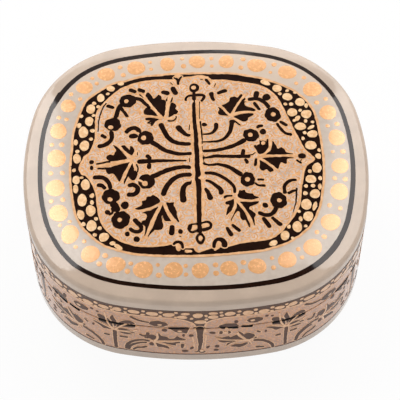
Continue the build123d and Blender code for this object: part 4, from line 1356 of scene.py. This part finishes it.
WALL_VEINS = [
    ([(16.4, 13.4), (14.2, 15.5), (12.4, 19.4)], 0.7, 0.5),
    ([(16.5, 13.2), (12.0, 12.9), (8.6, 10.0)], 0.7, 0.4),
    ([(16.5, 13.3), (11.0, 14.5), (5.8, 16.3)], 0.7, 0.5),
    ([(16.5, 13.2), (18.4, 14.6)], 0.7, 0.5),
    ([(16.6, 13.2), (17.4, 10.4)], 0.7, 0.5),
    ([(-14.4, 13.6), (-13.3, 16.4), (-13.4, 19.8)], 0.8, 0.5),
    ([(-14.4, 13.5), (-10.0, 14.1), (-4.6, 14.9)], 0.8, 0.5),
    ([(-14.4, 13.4), (-11.0, 11.9), (-8.4, 10.2)], 0.7, 0.4),
    ([(-14.6, 13.4), (-14.1, 11.4), (-13.9, 9.8)], 0.7, 0.5),
    ([(-14.6, 13.7), (-16.4, 14.7)], 0.7, 0.5),
    ([(28.9, 18.4), (27.0, 22.0), (26.0, 29.2)], 0.7, 0.5),
    ([(28.9, 18.4), (25.4, 20.4), (22.0, 21.6)], 0.7, 0.5),
    ([(29.0, 18.4), (31.0, 22.0), (33.8, 24.2)], 0.7, 0.5),
    ([(29.0, 18.4), (33.0, 18.9), (36.0, 20.6)], 0.7, 0.5),
]
WALL_ARCHES = [
    ([(UNIT_START, 31.1), (-18.0, 30.6), (-9.0, 30.3), (-5.0, 29.4), (-2.5, 27.9), (-1.3, 26.0),
        (-1.2, 22.0)],
     0.6, 0.6),
    ([(UNIT_END, 31.1), (18.0, 30.5), (9.0, 30.5), (5.0, 29.5), (2.9, 27.9), (2.2, 25.9), (2.2, 21.0)],
     0.6, 0.6),
    ([(-2.2, 20.0), (-1.6, 14.0), (-1.3, 9.5)], 0.5, 0.4),
    ([(2.5, 19.0), (2.2, 12.0), (1.9, 9.5)], 0.5, 0.4),
]
WALL_DIP = [
    (-8.0, 31.2), (-5.0, 29.6), (-2.7, 28.0), (-1.3, 26.0), (0.4, 24.6), (2.2, 25.9), (2.9, 27.9),
    (5.0, 29.6), (8.0, 31.2), (0.0, 31.6),
]
# Painted shade: near-black strokes over the seam's lips where the motifs cross it, and a thin dark line along
# the seam.
WALL_SEAM_SHADE = [
    ([(-9.9, 23.5), (-6.5, 23.7), (-3.3, 24.0)], 0.9, 1.2),
    ([(-1.7, 24.4), (0.4, 24.3), (2.3, 24.1)], 0.5, 0.5),
    ([(-0.5, 24.2), (1.5, 24.1)], 1.5, 1.4),
    ([(6.6, 24.2), (8.5, 23.7), (10.4, 23.3), (12.9, 22.8)], 1.2, 0.9),
    ([(13.8, 23.5), (15.5, 23.1), (17.5, 22.7)], 0.9, 1.1),
    ([(23.8, 22.9), (28.5, 22.9), (32.0, 23.0), (35.4, 23.1)], 1.0, 0.8),
    ([(UNIT_START, 23.5), (UNIT_END, 23.5)], 0.3, 0.3),
]
WALL_PEBBLES = [
    (-26.0, 33.1, 1.4, 1.2), (-20.7, 32.9, 1.8, 1.15), (-14.7, 32.8, 1.75, 1.3), (-9.5, 32.8, 1.8, 1.3, 15),
    (-4.2, 33.7, 1.4, 0.8), (-5.2, 31.5, 1.6, 1.1), (-0.2, 32.6, 1.5, 1.5), (4.6, 33.8, 1.4, 0.85),
    (4.7, 31.4, 1.6, 1.1), (0.6, 28.3, 1.9, 1.2), (10.0, 33.0, 1.7, 1.25), (15.8, 32.5, 1.7, 1.4, -10),
    (20.9, 32.2, 1.8, 1.2), (26.0, 32.8, 1.5, 1.1),
]
WALL_SMALL_PEBBLES = [
    (-23.3, 34.2, 0.5), (-23.4, 31.9, 0.55), (-17.7, 31.7, 0.75, 0.55), (-17.6, 34.0, 0.5),
    (-12.1, 34.1, 0.55), (-12.2, 31.6, 0.5), (-7.1, 34.3, 0.5), (-7.3, 31.3, 0.5), (-2.2, 30.6, 0.55),
    (2.4, 32.3, 0.4, 0.9, 20), (2.5, 30.0, 0.5), (7.4, 32.2, 0.6), (7.2, 34.2, 0.5), (13.0, 34.0, 0.6),
    (12.7, 31.7, 0.6), (18.2, 34.0, 0.6), (18.4, 31.6, 0.5), (23.6, 33.9, 0.6), (23.5, 31.6, 0.5),
    (28.3, 34.0, 0.5), (28.6, 32.2, 0.6),
]
DIP_DEPTH = 0.09
WALL_EDGING_DEPTH = 0.075
WALL_MOTIF_DEPTH = 0.05
SEAM_SHADE_DEPTH = 0.032
WALL_GOLD_DEPTH = 0.02
PEBBLE_SPREAD = 0.1

laid_on_walls(patch(WALL_DIP), "wall_dips", DIP_DEPTH, thin_black)
edged, wider = edging_of("wall", WALL_STROKES, WALL_LOBES, WALL_ROSETTES)
edged += [strokes("wall_arches", WALL_ARCHES)] + [daub(*placed) for placed in wider]
laid_on_walls(gathered("wall_edging", edged), "wall_edging", WALL_EDGING_DEPTH, line_gold)
filled = [strokes("wall_stroke_fills", WALL_STROKES)] + [patch(lobe) for lobe in WALL_LOBES]
filled += [daub(*rosette, petals=PETALS) for rosette in WALL_ROSETTES]
filled += [daub(*spot) for spot in WALL_SPOTS]
laid_on_walls(gathered("wall_motifs", filled), "wall_motifs", WALL_MOTIF_DEPTH, wall_black)
# Near-black paint with little lacquer, for the painted shade on the seam's lips.
seam_shade_black = paint("seam_shade_black_paint", (0.003, 0.0016, 0.001), (0.008, 0.004, 0.0025), 3.0, 0.6, coat=0.12)
laid_on_walls(strokes("seam_shade_strokes", WALL_SEAM_SHADE), "painted_seam_shade", SEAM_SHADE_DEPTH, seam_shade_black)
finest = [strokes("wall_veins", WALL_VEINS)] + [daub(*eye) for eye in WALL_EYES]
for x, y, across, *rest in WALL_PEBBLES + WALL_SMALL_PEBBLES:
    finest.append(daub(x, y, across + PEBBLE_SPREAD, *rest))
laid_on_walls(gathered("wall_gold", finest), "wall_gold", WALL_GOLD_DEPTH, line_gold)
